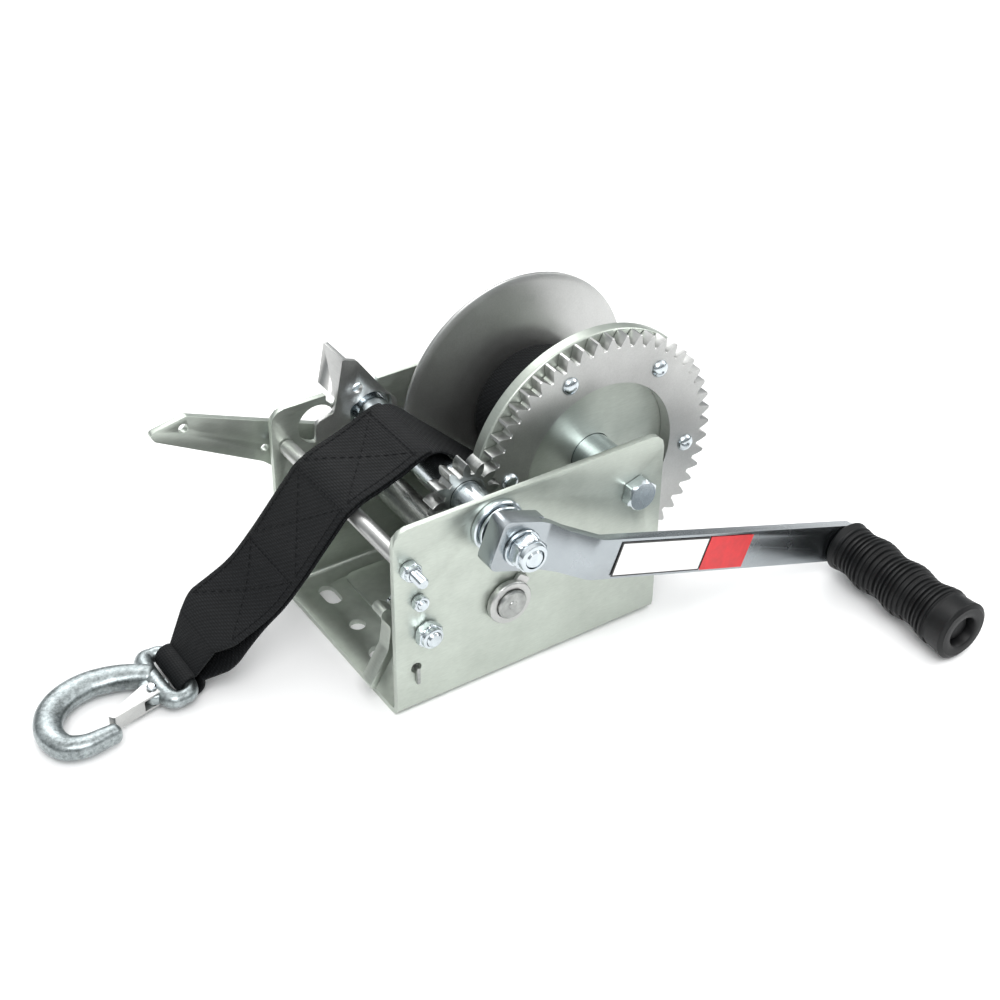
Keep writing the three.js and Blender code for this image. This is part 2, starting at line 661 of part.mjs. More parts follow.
function pawlSpring() {
  const out = NEAR_OUT - 1.6;
  const wire = 0.9;
  const leg = box(SPRING_HOLE[0] - wire, SPRING_HOLE[0] + wire, out - wire, out + wire,
    SPRING_HOLE[1] - 9, SPRING_HOLE[1] + wire);
  const through = rod(wire, out, NEAR_IN + 2.4, SPRING_HOLE, 10);
  const coil = ring(1.6, 3.4, NEAR_IN + 0.8, NEAR_IN + 2.8, SPRING_HOLE, 18);
  const web = box(SPRING_HOLE[0] - 2.4, SPRING_HOLE[0] + 2.4, NEAR_IN + 0.8, NEAR_IN + 2.4,
    SPRING_HOLE[1] - 0.6, SPRING_HOLE[1] + 0.6);
  return union(leg, through, coil, web);
}

// ---- shift lock ----
function shiftLockPlate() {
  const slot = DRIVE_SHAFT_R + 4;
  const [x, z] = DRIVE;
  const edge = FRAME_HEIGHT;
  const outline = rounded([
    [-56.5, 89, 3], [-49, 87, 3], [-46, 74, 5], [-34, 74, 5], [x - slot, 86, 2], [x - slot, z + 6, 4],
    [x, z + slot - 2, 4], [x + slot - 1, z + 6, 3], [x + slot - 1, 89, 1], [-6.5, 91, 2],
    [-7, 101, 5], [-14, edge - 6, 4], [-30, edge + 17, 4], [-38.4, edge + 20.2, 1], [-43, edge - 2.5, 1],
    [-45, edge - 10, 2],
    [-56, 102, 4],
  ], 4);
  const y0 = LOCK_NEAR;
  const body = plate(outline, y0, y0 + LOCK_SHEET);
  const thumb = [[-43, edge - 2.5], [-40.4, edge - 3], [-35.8, edge + 19.8], [-38.4, edge + 20.2]];
  return cut(
    union(body, plate(thumb, y0 + 0.5, y0 + 20.5)),
    rod(DRIVE_SHAFT_R + 2.4, y0 - 1, y0 + 9, DRIVE, 28),
    rod(2.5 + RUN, y0 - 1, y0 + 9, LOCK_PIVOT, 16),
    rod(3.2, y0 - 1, y0 + 9, [-30.6, edge + 0.4], 14),
  );
}

// Rivet whose thin inner head holds the lock plate against the side plate.
function shiftLockPivot() {
  const y0 = LOCK_NEAR - RUN;
  const profile = [
    [0, y0 - 2], [3.6, y0 - 2], [4.4, y0 - 1.2], [4.4, y0], [2.5, y0], [2.5, FAR_OUT + SEAT], [4.2, FAR_OUT + SEAT],
    [4.2, FAR_OUT + 1.6], [3, FAR_OUT + 2.3], [0, FAR_OUT + 2.3],
  ];
  return turned(profile, LOCK_PIVOT, 18);
}

// ---- brake ----
const BRAKE_SHEET = 4;
const BRAKE_NEAR = FAR_OUT + 7.6;

function brakeLever() {
  const outline = rounded([
    [-142, 117.6, 3], [-121, 121.8, 5], [-50, 92.1, 14], [-28, 83, 6], [-4, 83, 4], [-4, 69, 4],
    [-24, 65, 8], [-32, 51, 8], [-50, 51, 9], [-81, 79.6, 12], [-139, 112.4, 3],
  ], 4);
  const hole = [-123.3, 115.3];
  const y0 = BRAKE_NEAR;
  return cut(
    plate(outline, y0, y0 + BRAKE_SHEET),
    rod(4 + RUN, y0 - 1, y0 + 9, BRAKE_PIVOT, 20),
    rod(2.6, y0 - 1, y0 + 9, hole, 14),
    rod(2.2, y0 - 1, y0 + 9, [-79.5, 87.7], 14),
  );
}

function brakeShoe() {
  const reach = FLANGE_RADIUS - 0.8 + 1.9;
  const outline = rounded([[-17, 71.5, 2], [-4, 71.5, 0.5], [-4, 80, 0.5], [-17, 80, 2]]);
  const block = plate(outline, FLANGE_FAR + 3, BRAKE_NEAR - SEAT);
  return cut(block, rod(reach, FLANGE_FAR - 5, BRAKE_NEAR + 5, AXLE, 96));
}

function brakeBolt() {
  return hexBolt(BRAKE_PIVOT, 13, 4, BRAKE_NEAR + BRAKE_SHEET + SEAT, 5, FAR_IN - 7, 0.1);
}

// ---- strap and hook ----
const TAIL_PATH = [
  [36.4, 57.3], [18, 74.9], [0, 92.2], [-11.5, 103.2], [-18.6, 110.4], [-25, 114.6], [-32, 115.4], [-39.5, 112.9],
  [-47, 109.4], [-59, 104.9], [-70, 101.3],
  [-78.2, 96.4], [-84.6, 88.6], [-91.6, 79.4], [-103.5, 63], [-115, 49], [-127, 39], [-139, 29.5], [-150, 20],
];
const LAP_START = -29;
const EYE = [-160, 8.6];
const EYE_BAR_R = 4.2;
const EYE_MID = 20;
const EYE_WIDTH = 30;
const STRAP_SWING_START = -70;
const STRAP_SWING_END = -145;

// Slides and narrows the strap sideways on its way down to the eye.
function swing(x) {
  const t = THREE.MathUtils.smoothstep(STRAP_SWING_START - x, 0, STRAP_SWING_START - STRAP_SWING_END);
  const narrow = THREE.MathUtils.smoothstep(-126 - x, 0, 25);
  return [STRAP_MID + t * (EYE_MID - STRAP_MID), STRAP_WIDTH + narrow * (EYE_WIDTH - STRAP_WIDTH)];
}

function webbing(outline, holes = []) {
  const shape = new THREE.Shape(outline.map(([x, z]) => new THREE.Vector2(x, z)));
  holes.forEach((hole) => {
    shape.holes.push(new THREE.Path(hole.map(([x, z]) => new THREE.Vector2(x, z))));
  });
  const geometry = new THREE.ExtrudeGeometry(shape, { depth: 1, bevelEnabled: false });
  const position = geometry.attributes.position;
  for (let i = 0; i < position.count; i += 1) {
    const [x, z, side] = [position.getX(i), position.getY(i), position.getZ(i)];
    const [middle, width] = swing(x);
    position.setXYZ(i, x, middle + (side - 0.5) * width, z);
  }
  return toSolid(geometry);
}

function strapTail() {
  const spine = smooth(TAIL_PATH, 48);
  const single = spine.filter(([x]) => x > LAP_START - 5);
  const double = spine.filter(([x]) => x <= LAP_START);
  const last = spine[spine.length - 1];
  const neck = [last, [EYE[0] + 4, EYE[1] + 4.6]];
  const loop = webbing(circle(EYE, EYE_BAR_R + 0.6 + STRAP_THICK, 28), []);
  const open = rod(EYE_BAR_R + 0.6, -60, 60, EYE, 28);
  return cut(
    union(
      webbing(band(single, STRAP_THICK)),
      webbing(band(double, STRAP_THICK * 2)),
      webbing(band(neck, STRAP_THICK * 2)),
      loop,
    ),
    open,
  );
}

const HOOK_LOW = 2;
const HOOK_THICK = 12;
const HOOK_MIDDLE = HOOK_LOW + HOOK_THICK / 2;
const HOOK_SPINE = [
  [-172, 22], [-181, 28.5], [-193, 33.5], [-206, 35], [-219, 31.5], [-229, 23], [-233.5, 11], [-230.5, -0.5],
  [-221.5, -5.2], [-211, -5], [-202.5, -4.6],
];
const LATCH_PIN = [-179, 11.5];

// Flat forging with rounded edges: a wide middle slice and a narrower, thicker core.
function hookBody(spine, widthAt) {
  const layer = (shrink) => {
    const sides = [1, -1].map((side) => spine.map(([x, y], i) => {
      const a = spine[Math.max(0, i - 1)];
      const b = spine[Math.min(spine.length - 1, i + 1)];
      const along = new THREE.Vector2(b[0] - a[0], b[1] - a[1]).normalize();
      const half = widthAt(i / (spine.length - 1)) / 2 - shrink;
      return [x - along.y * half * side, y + along.x * half * side];
    }));
    return sides[0].concat(sides[1].reverse());
  };
  const inset = HOOK_THICK * 0.22;
  const top = HOOK_LOW + HOOK_THICK;
  return union(
    slab(layer(0), HOOK_LOW + inset, top - inset),
    slab(layer(1.8), HOOK_LOW, top),
  );
}

function hook() {
  const spine = smooth(HOOK_SPINE, 18);
  const width = (t) => 13 + 4.4 * Math.sin(Math.PI * Math.min(1, t * 1.05)) - 4 * Math.pow(t, 4);
  const half = EYE_WIDTH / 2 + 1.2;
  const arm = 5.5;
  const neck = -173;
  const frame = slab(rounded([
    [EYE[0] + 5, EYE_MID - half - arm, 4], [EYE[0] + 5, EYE_MID + half + arm, 4], [neck + 4, EYE_MID + half + arm, 9],
    [neck - 6, EYE_MID + 7, 3], [neck - 6, EYE_MID - 7, 3], [neck + 4, EYE_MID - half - arm, 9],
  ]), HOOK_MIDDLE - 4, HOOK_MIDDLE + 4);
  const gap = box(-168, -100, EYE_MID - half, EYE_MID + half, -10, 40);
  const bar = rod(EYE_BAR_R, EYE_MID - half - 1, EYE_MID + half + 1, EYE, 20);
  const ear = slab(rounded([
    [LATCH_PIN[0] - 4.2, LATCH_PIN[1] - 5.5, 4], [LATCH_PIN[0] + 6, LATCH_PIN[1] - 5.5, 4],
    [LATCH_PIN[0] + 8, LATCH_PIN[1] + 10, 1], [LATCH_PIN[0] - 4.2, LATCH_PIN[1] + 13, 1],
  ]), HOOK_MIDDLE - 2.6, HOOK_MIDDLE + 2.6);
  const notch = slab(rounded([
    [LATCH_PIN[0] - 24, LATCH_PIN[1] - 9, 0.5], [LATCH_PIN[0] + 7, LATCH_PIN[1] - 9, 0.5],
    [LATCH_PIN[0] + 7, LATCH_PIN[1] + 6.6, 3], [LATCH_PIN[0] - 12, LATCH_PIN[1] + 6.6, 3],
  ]), -1, 20);
  const body = cut(union(hookBody(spine, width), cut(frame, gap)), notch);
  const hole = slab(circle(LATCH_PIN, 1.6 + SEAT, 14), -1, 20);
  return union(cut(union(body, ear), hole), bar);
}

function latchPin() {
  return slab(circle(LATCH_PIN, 1.6, 14), HOOK_MIDDLE - 5.2, HOOK_MIDDLE + 5.2);
}

// Folded sheet latch: two cheeks astride the ear and a web that spans the throat.
function hookLatch() {
  const [px, py] = LATCH_PIN;
  const outline = rounded([
    [px + 4.6, py - 4.6, 4], [px + 4.6, py + 4.4, 4], [px - 4, py + 4.4, 3], [px - 27, py - 7.4, 1], [px - 24.5, py - 10.6, 1],
    [px - 4, py - 6, 3],
  ], 4);
  const inside = rounded([
    [px + 9, py - 11], [px + 9, py + 9], [px - 7, py + 9], [px - 7, py - 11],
  ]);
  const low = HOOK_MIDDLE - 4.2;
  const high = HOOK_MIDDLE + 4.2;
  return cut(
    slab(outline, low, high),
    slab(inside, HOOK_MIDDLE - 2.6 - RUN, HOOK_MIDDLE + 2.6 + RUN),
    slab(circle(LATCH_PIN, 1.6 + SEAT, 14), -1, 20),
  );
}

// ---- assembly ----
const ZINC = { color: 0xbfc3bb, roughness: 0.42, metalness: 0.85 };
const BRIGHT = { color: 0xd7dadb, roughness: 0.25, metalness: 0.95 };
const DARK_STEEL = { color: 0x8d9190, roughness: 0.45, metalness: 0.85 };
const FORGED = { color: 0xaab0b0, roughness: 0.38, metalness: 0.9 };
const RUBBER = { color: 0x17191b, roughness: 0.6, metalness: 0 };
const WEBBING = { color: 0x15171a, roughness: 0.85, metalness: 0 };
const LABEL = { color: 0xf2f2f0, roughness: 0.4, metalness: 0 };

const winch = new THREE.Group();

function add(name, solid, look) {
  const mesh = new THREE.Mesh(toGeometry(solid), new THREE.MeshStandardMaterial(look));
  mesh.name = name;
  winch.add(mesh);
}

add('frame_channel', frameChannel(), ZINC);
add('front_spacer_tube', frontSpacerTube(), ZINC);
add('front_bolt', frontBolt(), BRIGHT);
add('front_bolt_nut', lockNut(FRONT_BOLT, 10, 3 + SEAT, NEAR_OUT - 6.3, NEAR_OUT - SEAT, true, 0.2), BRIGHT);
add('stop_screw', stopScrew(), BRIGHT);
add('stop_screw_nut', hexNut(STOP_SCREW, 8, 2.5 + SEAT, NEAR_OUT - 4.3, NEAR_OUT - SEAT, 0.3), BRIGHT);
add('pawl_bolt', pawlBolt(), BRIGHT);
add('pawl_spacer', ring(4 + SEAT, 6.5, NEAR_IN + SEAT, LAY_GEAR_NEAR - RUN, PAWL_BOLT, 20), BRIGHT);
add('pawl_bolt_nut', lockNut(PAWL_BOLT, 13, 4 + SEAT, NEAR_OUT - 7.8, NEAR_OUT - SEAT, true, 0.4), BRIGHT);
add('pawl_spring', pawlSpring(), DARK_STEEL);
add('drive_bush_near', sideBush(DRIVE, DRIVE_SHAFT_R + RUN, 11.7, 14.3, 4, true, 3, false), ZINC);
add('drive_bush_far', sideBush(DRIVE, DRIVE_SHAFT_R + RUN, 11.7, 14.3, 4, false, -0.2, false), ZINC);
add('layshaft_bush_near', sideBush(LAY, LAY_SHAFT_R + RUN, 10.4, 12.4, 4.4, true, 3, true), ZINC);
add('layshaft_bush_far', sideBush(LAY, LAY_SHAFT_R + RUN, 10.4, 12.4, 4.4, false, 3, true), ZINC);
add('reel_axle_bolt', hexBolt(AXLE, 16.5, AXLE_BOLT_R, NEAR_OUT - SEAT, 6.2, FAR_OUT + 13, 0.3), BRIGHT);
add('reel_axle_nut', lockNut(AXLE, 17, AXLE_BOLT_R + SEAT, FAR_OUT + SEAT, FAR_OUT + 11, false, 0.3), BRIGHT);
add('axle_sleeve', axleSleeve(), ZINC);
add('brake_bolt', brakeBolt(), BRIGHT);
add('brake_spacer', ring(4 + SEAT, 7.4, FAR_OUT + SEAT, BRAKE_NEAR - SEAT, BRAKE_PIVOT, 24), ZINC);
add('brake_nut', lockNut(BRAKE_PIVOT, 13, 4 + SEAT, FAR_IN - 6.6, FAR_IN - SEAT, true, 0.1), BRIGHT);
add('shift_lock_pivot', shiftLockPivot(), ZINC);
add('strap_tail', strapTail(), WEBBING);
add('reel_drum', reelDrum(), DARK_STEEL);
add('reel_flange_near', reelFlangeNear(), ZINC);
add('reel_flange_far', reelFlangeFar(), ZINC);
add('reel_gear', reelGear(), DARK_STEEL);
for (let i = 0; i < RIVET_COUNT; i += 1) {
  add(`gear_rivet_${i + 1}`, gearRivet(i), BRIGHT);
}
add('strap_winding', strapWinding(), WEBBING);
add('layshaft', layshaft(), DARK_STEEL);
add('layshaft_gear', layGear(), DARK_STEEL);
add('layshaft_pinion', shaftGear(LAY, PINION_TEETH, LAY_SHAFT_R + SEAT, GEAR_NEAR - 3, GEAR_FAR - SEAT, LAY_PINION_TURN),
  DARK_STEEL);
add('layshaft_ring', retainingRing(LAY, LAY_SHAFT_R - 0.7, LAY_SHAFT_R + 2.4, FAR_OUT + 5.1, FAR_OUT + 5.9, 2.2), DARK_STEEL);
add('shift_washer', ring(DRIVE_SHAFT_R + RUN, 12.6, NEAR_OUT - 6.4, NEAR_OUT - 4.6, DRIVE, 28), BRIGHT);
add('drive_shaft', driveShaft(), BRIGHT);
add('drive_pinion', shaftGear(DRIVE, PINION_TEETH, DRIVE_SHAFT_R + SEAT, PINION_NEAR, PINION_NEAR + PINION_FACE,
  DRIVE_PINION_TURN), DARK_STEEL);
add('crank_arm', crankArm(), BRIGHT);
add('crank_washer', ring(5 + SEAT, 10, HUB_FACE - SEAT - 1.6, HUB_FACE - SEAT, DRIVE, 28), BRIGHT);
add('crank_nut', lockNut(DRIVE, 17, 5 + SEAT, HUB_FACE - NUT_HEIGHT, HUB_FACE - SEAT * 2 - 1.6, true, 0.2), BRIGHT);
add('crank_label', crankLabel(), LABEL);
add('grip_spindle', gripSpindle(), BRIGHT);
add('grip', grip(), RUBBER);
add('shift_lock_plate', shiftLockPlate(), ZINC);
add('pawl', pawl(), ZINC);
add('brake_lever', brakeLever(), ZINC);
add('brake_shoe', brakeShoe(), DARK_STEEL);
add('hook', hook(), FORGED);
add('latch_pin', latchPin(), BRIGHT);
add('hook_latch', hookLatch(), ZINC);

export default winch;
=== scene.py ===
import math

import bmesh
import bpy
import numpy as np
from mathutils import Matrix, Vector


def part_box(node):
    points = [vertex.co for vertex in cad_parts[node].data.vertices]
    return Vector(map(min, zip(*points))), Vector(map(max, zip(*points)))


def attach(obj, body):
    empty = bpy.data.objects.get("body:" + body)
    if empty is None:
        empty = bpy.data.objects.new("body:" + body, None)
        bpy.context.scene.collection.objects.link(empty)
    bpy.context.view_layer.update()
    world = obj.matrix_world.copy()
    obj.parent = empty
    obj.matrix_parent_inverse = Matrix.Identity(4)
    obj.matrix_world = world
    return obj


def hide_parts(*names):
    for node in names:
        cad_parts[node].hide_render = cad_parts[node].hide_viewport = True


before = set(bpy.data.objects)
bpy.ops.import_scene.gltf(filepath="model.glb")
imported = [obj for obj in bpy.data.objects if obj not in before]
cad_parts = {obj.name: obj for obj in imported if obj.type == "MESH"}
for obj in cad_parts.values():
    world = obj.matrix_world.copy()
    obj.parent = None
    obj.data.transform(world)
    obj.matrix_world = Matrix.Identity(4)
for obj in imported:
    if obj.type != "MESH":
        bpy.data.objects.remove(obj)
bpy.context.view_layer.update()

bl_info = {
    "name": "Boat Trailer Winch",
    "version": (1, 0, 0),
    "blender": (4, 5, 0),
    "location": "3D View > Sidebar > Winch",
    "description": "Builds the visible surfaces of a geared strap winch over its measured frame",
    "category": "Add Mesh",
}

MM = 0.001


# ---- places taken from the frame, in millimetres ----
def span(node):
    """Lowest and highest corner of a node in millimetres."""
    low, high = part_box(node)
    return np.array(low) / MM, np.array(high) / MM


def centre(node):
    """Middle of a node's box as (x, z) in millimetres."""
    low, high = span(node)
    return np.array([(low[0] + high[0]) / 2, (low[2] + high[2]) / 2])


def along_y(node):
    """Lowest and highest y of a node in millimetres."""
    low, high = span(node)
    return low[1], high[1]


def radius(node):
    """Half the x extent of a round node in millimetres."""
    low, high = span(node)
    return (high[0] - low[0]) / 2


AXLE = centre("reel_flange_near")
DRIVE = centre("drive_shaft")
LAY = centre("layshaft")
PIN = centre("grip_spindle")
NEAR_OUT = span("frame_channel")[0][1]
FAR_OUT = span("frame_channel")[1][1]


# ---- settings ----
def colour_setting(name, text, default):
    return bpy.props.FloatVectorProperty(name=name, description=text, default=default, subtype="COLOR")


class WinchSettings(bpy.types.PropertyGroup):
    strap_thickness: bpy.props.FloatProperty(
        name="Strap thickness", description="Thickness of one layer of webbing", default=0.0021,
            unit="LENGTH")
    strap_width: bpy.props.FloatProperty(
        name="Strap width", description="Width of the webbing", default=0.052, unit="LENGTH")
    grip_ridge: bpy.props.FloatProperty(
        name="Grip ridge", description="Height of the rings on the rubber grip", default=0.0006,
            unit="LENGTH")
    edge_round: bpy.props.FloatProperty(
        name="Edge rounding", description="Rounding of cut sheet edges", default=0.0005, unit="LENGTH")
    zinc_colour: colour_setting("Zinc colour", "Colour of the plated sheet", (0.48, 0.52, 0.47))
    steel_colour: colour_setting("Bright steel colour", "Colour of the bright plating", (0.58, 0.63, 0.66))
    gear_colour: colour_setting("Gear colour", "Colour of the machined gears", (0.36, 0.37, 0.36))
    hook_colour: colour_setting("Hook colour", "Colour of the forged hook", (0.31, 0.345, 0.35))
    label_red: colour_setting("Label red", "Colour of the end panel of the label", (0.62, 0.015, 0.02))


def settings():
    return bpy.context.scene.winch


# ---- materials ----
def new_material(name):
    material = bpy.data.materials.new(name)
    material.use_nodes = True
    nodes = material.node_tree.nodes
    return material, nodes, material.node_tree.links, nodes["Principled BSDF"]


def mapped(nodes, links, scale, source="Object"):
    """Coordinates of the piece, stretched by scale."""
    place = nodes.new("ShaderNodeTexCoord")
    mapping = nodes.new("ShaderNodeMapping")
    mapping.inputs["Scale"].default_value = scale
    links.new(place.outputs[source], mapping.inputs["Vector"])
    return mapping.outputs["Vector"]


def noise(nodes, links, vector, scale, detail=4.0, roughness=0.55):
    texture = nodes.new("ShaderNodeTexNoise")
    texture.inputs["Scale"].default_value = scale
    texture.inputs["Detail"].default_value = detail
    texture.inputs["Roughness"].default_value = roughness
    links.new(vector, texture.inputs["Vector"])
    return texture.outputs["Fac"]


def ramp(nodes, links, factor, stops):
    """Colour ramp through (position, colour) stops."""
    node = nodes.new("ShaderNodeValToRGB")
    elements = node.color_ramp.elements
    while len(elements) < len(stops):
        elements.new(0.5)
    for element, (place, colour) in zip(elements, stops):
        element.position = place
        element.color = (*colour, 1.0)
    links.new(factor, node.inputs["Fac"])
    return node.outputs["Color"]


def spread(nodes, links, factor, low, high):
    """Factor 0 to 1 becomes low to high."""
    node = nodes.new("ShaderNodeMapRange")
    node.inputs["To Min"].default_value = low
    node.inputs["To Max"].default_value = high
    links.new(factor, node.inputs["Value"])
    return node.outputs["Result"]


def add_bump(nodes, links, shader, heights):
    """Chain of bumps from (height socket, strength, distance)."""
    last = None
    for height, strength, distance in heights:
        bump = nodes.new("ShaderNodeBump")
        bump.inputs["Strength"].default_value = strength
        bump.inputs["Distance"].default_value = distance
        links.new(height, bump.inputs["Height"])
        if last is not None:
            links.new(last, bump.inputs["Normal"])
        last = bump.outputs["Normal"]
    links.new(last, shader.inputs["Normal"])


def metal(name, colour, dark, light, rough, grain, metallic=1.0, cloud=55.0, bump=0.08):
    """Plated or machined metal: cloudy tone, streaks along the grain, fine scratches and a rippled gloss."""
    material, nodes, links, shader = new_material(name)
    plain = mapped(nodes, links, (1.0, 1.0, 1.0))
    drawn = mapped(nodes, links, grain)
    clouds = noise(nodes, links, plain, cloud, 5.0, 0.6)
    streaks = noise(nodes, links, drawn, 240.0, 3.0, 0.5)
    specks = noise(nodes, links, plain, 900.0, 2.0, 0.5)
    mix = nodes.new("ShaderNodeMix")
    mix.inputs["Factor"].default_value = 0.35
    links.new(clouds, mix.inputs["A"])
    links.new(streaks, mix.inputs["B"])
    low = [c * dark for c in colour]
    high = [min(1.0, c * light) for c in colour]
    links.new(ramp(nodes, links, mix.outputs["Result"], [(0.3, low), (0.52, colour), (0.72, high)]),
              shader.inputs["Base Color"])
    links.new(spread(nodes, links, clouds, rough[0], rough[1]), shader.inputs["Roughness"])
    shader.inputs["Metallic"].default_value = metallic
    add_bump(nodes, links, shader, [(clouds, bump, 0.0006), (streaks, bump * 0.6, 0.0002), (specks,
        bump * 0.5, 0.0001)])
    return material


def forged_metal():
    """Forged and plated: pale high spots, dark pits and a soft pebbled skin."""
    colour = list(settings().hook_colour)
    material, nodes, links, shader = new_material("forged_zinc")
    place = mapped(nodes, links, (1.0, 1.0, 1.0))
    broad = noise(nodes, links, place, 60.0, 6.0, 0.7)
    fine = noise(nodes, links, place, 620.0, 3.0, 0.6)
    mix = nodes.new("ShaderNodeMix")
    mix.inputs["Factor"].default_value = 0.45
    links.new(broad, mix.inputs["A"])
    links.new(fine, mix.inputs["B"])
    stops = [(0.36, [c * 0.42 for c in colour]), (0.48, [c * 0.85 for c in colour]), (0.6,
        [c * 1.35 for c in colour])]
    links.new(ramp(nodes, links, mix.outputs["Result"], stops), shader.inputs["Base Color"])
    links.new(spread(nodes, links, fine, 0.22, 0.5), shader.inputs["Roughness"])
    shader.inputs["Metallic"].default_value = 0.95
    add_bump(nodes, links, shader, [(broad, 0.25, 0.0012), (fine, 0.25, 0.0003)])
    return material


def webbing_material():
    """Black woven webbing: close ribs across the strap, diagonal twill between them, dusty highlights."""
    material, nodes, links, shader = new_material("webbing")
    uv = mapped(nodes, links, (1.0, 1.0, 1.0), "UV")
    ribs = nodes.new("ShaderNodeTexWave")
    ribs.bands_direction = "X"
    ribs.inputs["Scale"].default_value = 260.0
    ribs.inputs["Distortion"].default_value = 0.3
    links.new(uv, ribs.inputs["Vector"])
    twill = nodes.new("ShaderNodeTexWave")
    twill.bands_direction = "DIAGONAL"
    twill.inputs["Scale"].default_value = 190.0
    twill.inputs["Distortion"].default_value = 0.6
    links.new(uv, twill.inputs["Vector"])
    dust = noise(nodes, links, uv, 90.0, 5.0, 0.7)
    mix = nodes.new("ShaderNodeMix")
    mix.inputs["Factor"].default_value = 0.4
    links.new(ribs.outputs["Fac"], mix.inputs["A"])
    links.new(twill.outputs["Fac"], mix.inputs["B"])
    stops = [(0.15, (0.0008, 0.001, 0.0012)), (0.6, (0.0028, 0.0035, 0.0042)), (0.95, (0.009, 0.0105, 0.012))]
    links.new(ramp(nodes, links, mix.outputs["Result"], stops), shader.inputs["Base Color"])
    links.new(spread(nodes, links, dust, 0.5, 0.8), shader.inputs["Roughness"])
    shader.inputs["Specular IOR Level"].default_value = 0.22
    add_bump(nodes, links, shader, [(mix.outputs["Result"], 0.5, 0.0004), (dust, 0.1, 0.0005)])
    return material


def rubber_material():
    """Moulded black rubber with a fine stipple and worn, slightly shiny patches."""
    material, nodes, links, shader = new_material("rubber")
    place = mapped(nodes, links, (1.0, 1.0, 1.0))
    stipple = noise(nodes, links, place, 1100.0, 2.0, 0.5)
    patches = noise(nodes, links, place, 45.0, 4.0, 0.6)
    links.new(ramp(nodes, links, patches, [(0.35, (0.001, 0.0013, 0.0015)), (0.7, (0.003, 0.0036, 0.0042))]),
              shader.inputs["Base Color"])
    shader.inputs["Specular IOR Level"].default_value = 0.3
    links.new(spread(nodes, links, patches, 0.38, 0.6), shader.inputs["Roughness"])
    add_bump(nodes, links, shader, [(stipple, 0.2, 0.0002), (patches, 0.06, 0.0006)])
    return material


def print_material(name, colour, edge):
    """Printed film: a slightly uneven ink over a smooth sheet."""
    material, nodes, links, shader = new_material(name)
    place = mapped(nodes, links, (1.0, 1.0, 1.0))
    ink = noise(nodes, links, place, 160.0, 4.0, 0.6)
    links.new(ramp(nodes, links, ink, [(0.3, [c * edge for c in colour]), (0.6, colour)]),
        shader.inputs["Base Color"])
    links.new(spread(nodes, links, ink, 0.28, 0.4), shader.inputs["Roughness"])
    add_bump(nodes, links, shader, [(ink, 0.05, 0.0002)])
    return material


MATERIALS = {}


def make_materials():
    values = settings()
    zinc = list(values.zinc_colour)
    steel = list(values.steel_colour)
    gear = list(values.gear_colour)
    MATERIALS["zinc_sheet"] = metal("zinc_sheet", zinc, 0.86, 1.14, (0.3, 0.46), (1.0, 1.0, 6.0), 0.85,
        48.0, 0.05)
    MATERIALS["bright_steel"] = metal("bright_steel", steel, 0.8, 1.15, (0.14, 0.28), (1.0, 8.0, 1.0), 1.0,
        70.0, 0.05)
    MATERIALS["arm_steel"] = metal("arm_steel", [c * 0.62 for c in steel], 0.88, 1.1, (0.2, 0.32), (0.6,
        9.0, 9.0), 1.0, 40.0, 0.05)
    MATERIALS["dark_steel"] = metal("dark_steel", gear, 0.62, 1.5, (0.26, 0.44), (1.0, 8.0, 1.0), 1.0,
        130.0, 0.14)
    MATERIALS["flange_steel"] = metal("flange_steel", [c * 0.98 for c in (0.50, 0.505, 0.495)], 0.85, 1.15,
        (0.3, 0.42), (5.0, 1.0, 5.0),
                                      0.95, 30.0, 0.05)
    MATERIALS["forged_zinc"] = forged_metal()
    MATERIALS["webbing"] = webbing_material()
    MATERIALS["rubber"] = rubber_material()
    MATERIALS["label_white"] = print_material("label_white", (0.82, 0.82, 0.8), 0.94)
    MATERIALS["label_black"] = print_material("label_black", (0.012, 0.012, 0.012), 0.6)
    MATERIALS["label_red"] = print_material("label_red", list(values.label_red), 0.8)


# ---- mesh helpers ----
def finish_piece(obj, body, material, nodes=()):
    """Material, body and the frame nodes that the piece stands for."""
    obj.data.materials.clear()
    obj.data.materials.append(MATERIALS[material])
    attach(obj, body)
    if nodes:
        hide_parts(*nodes)
    return obj


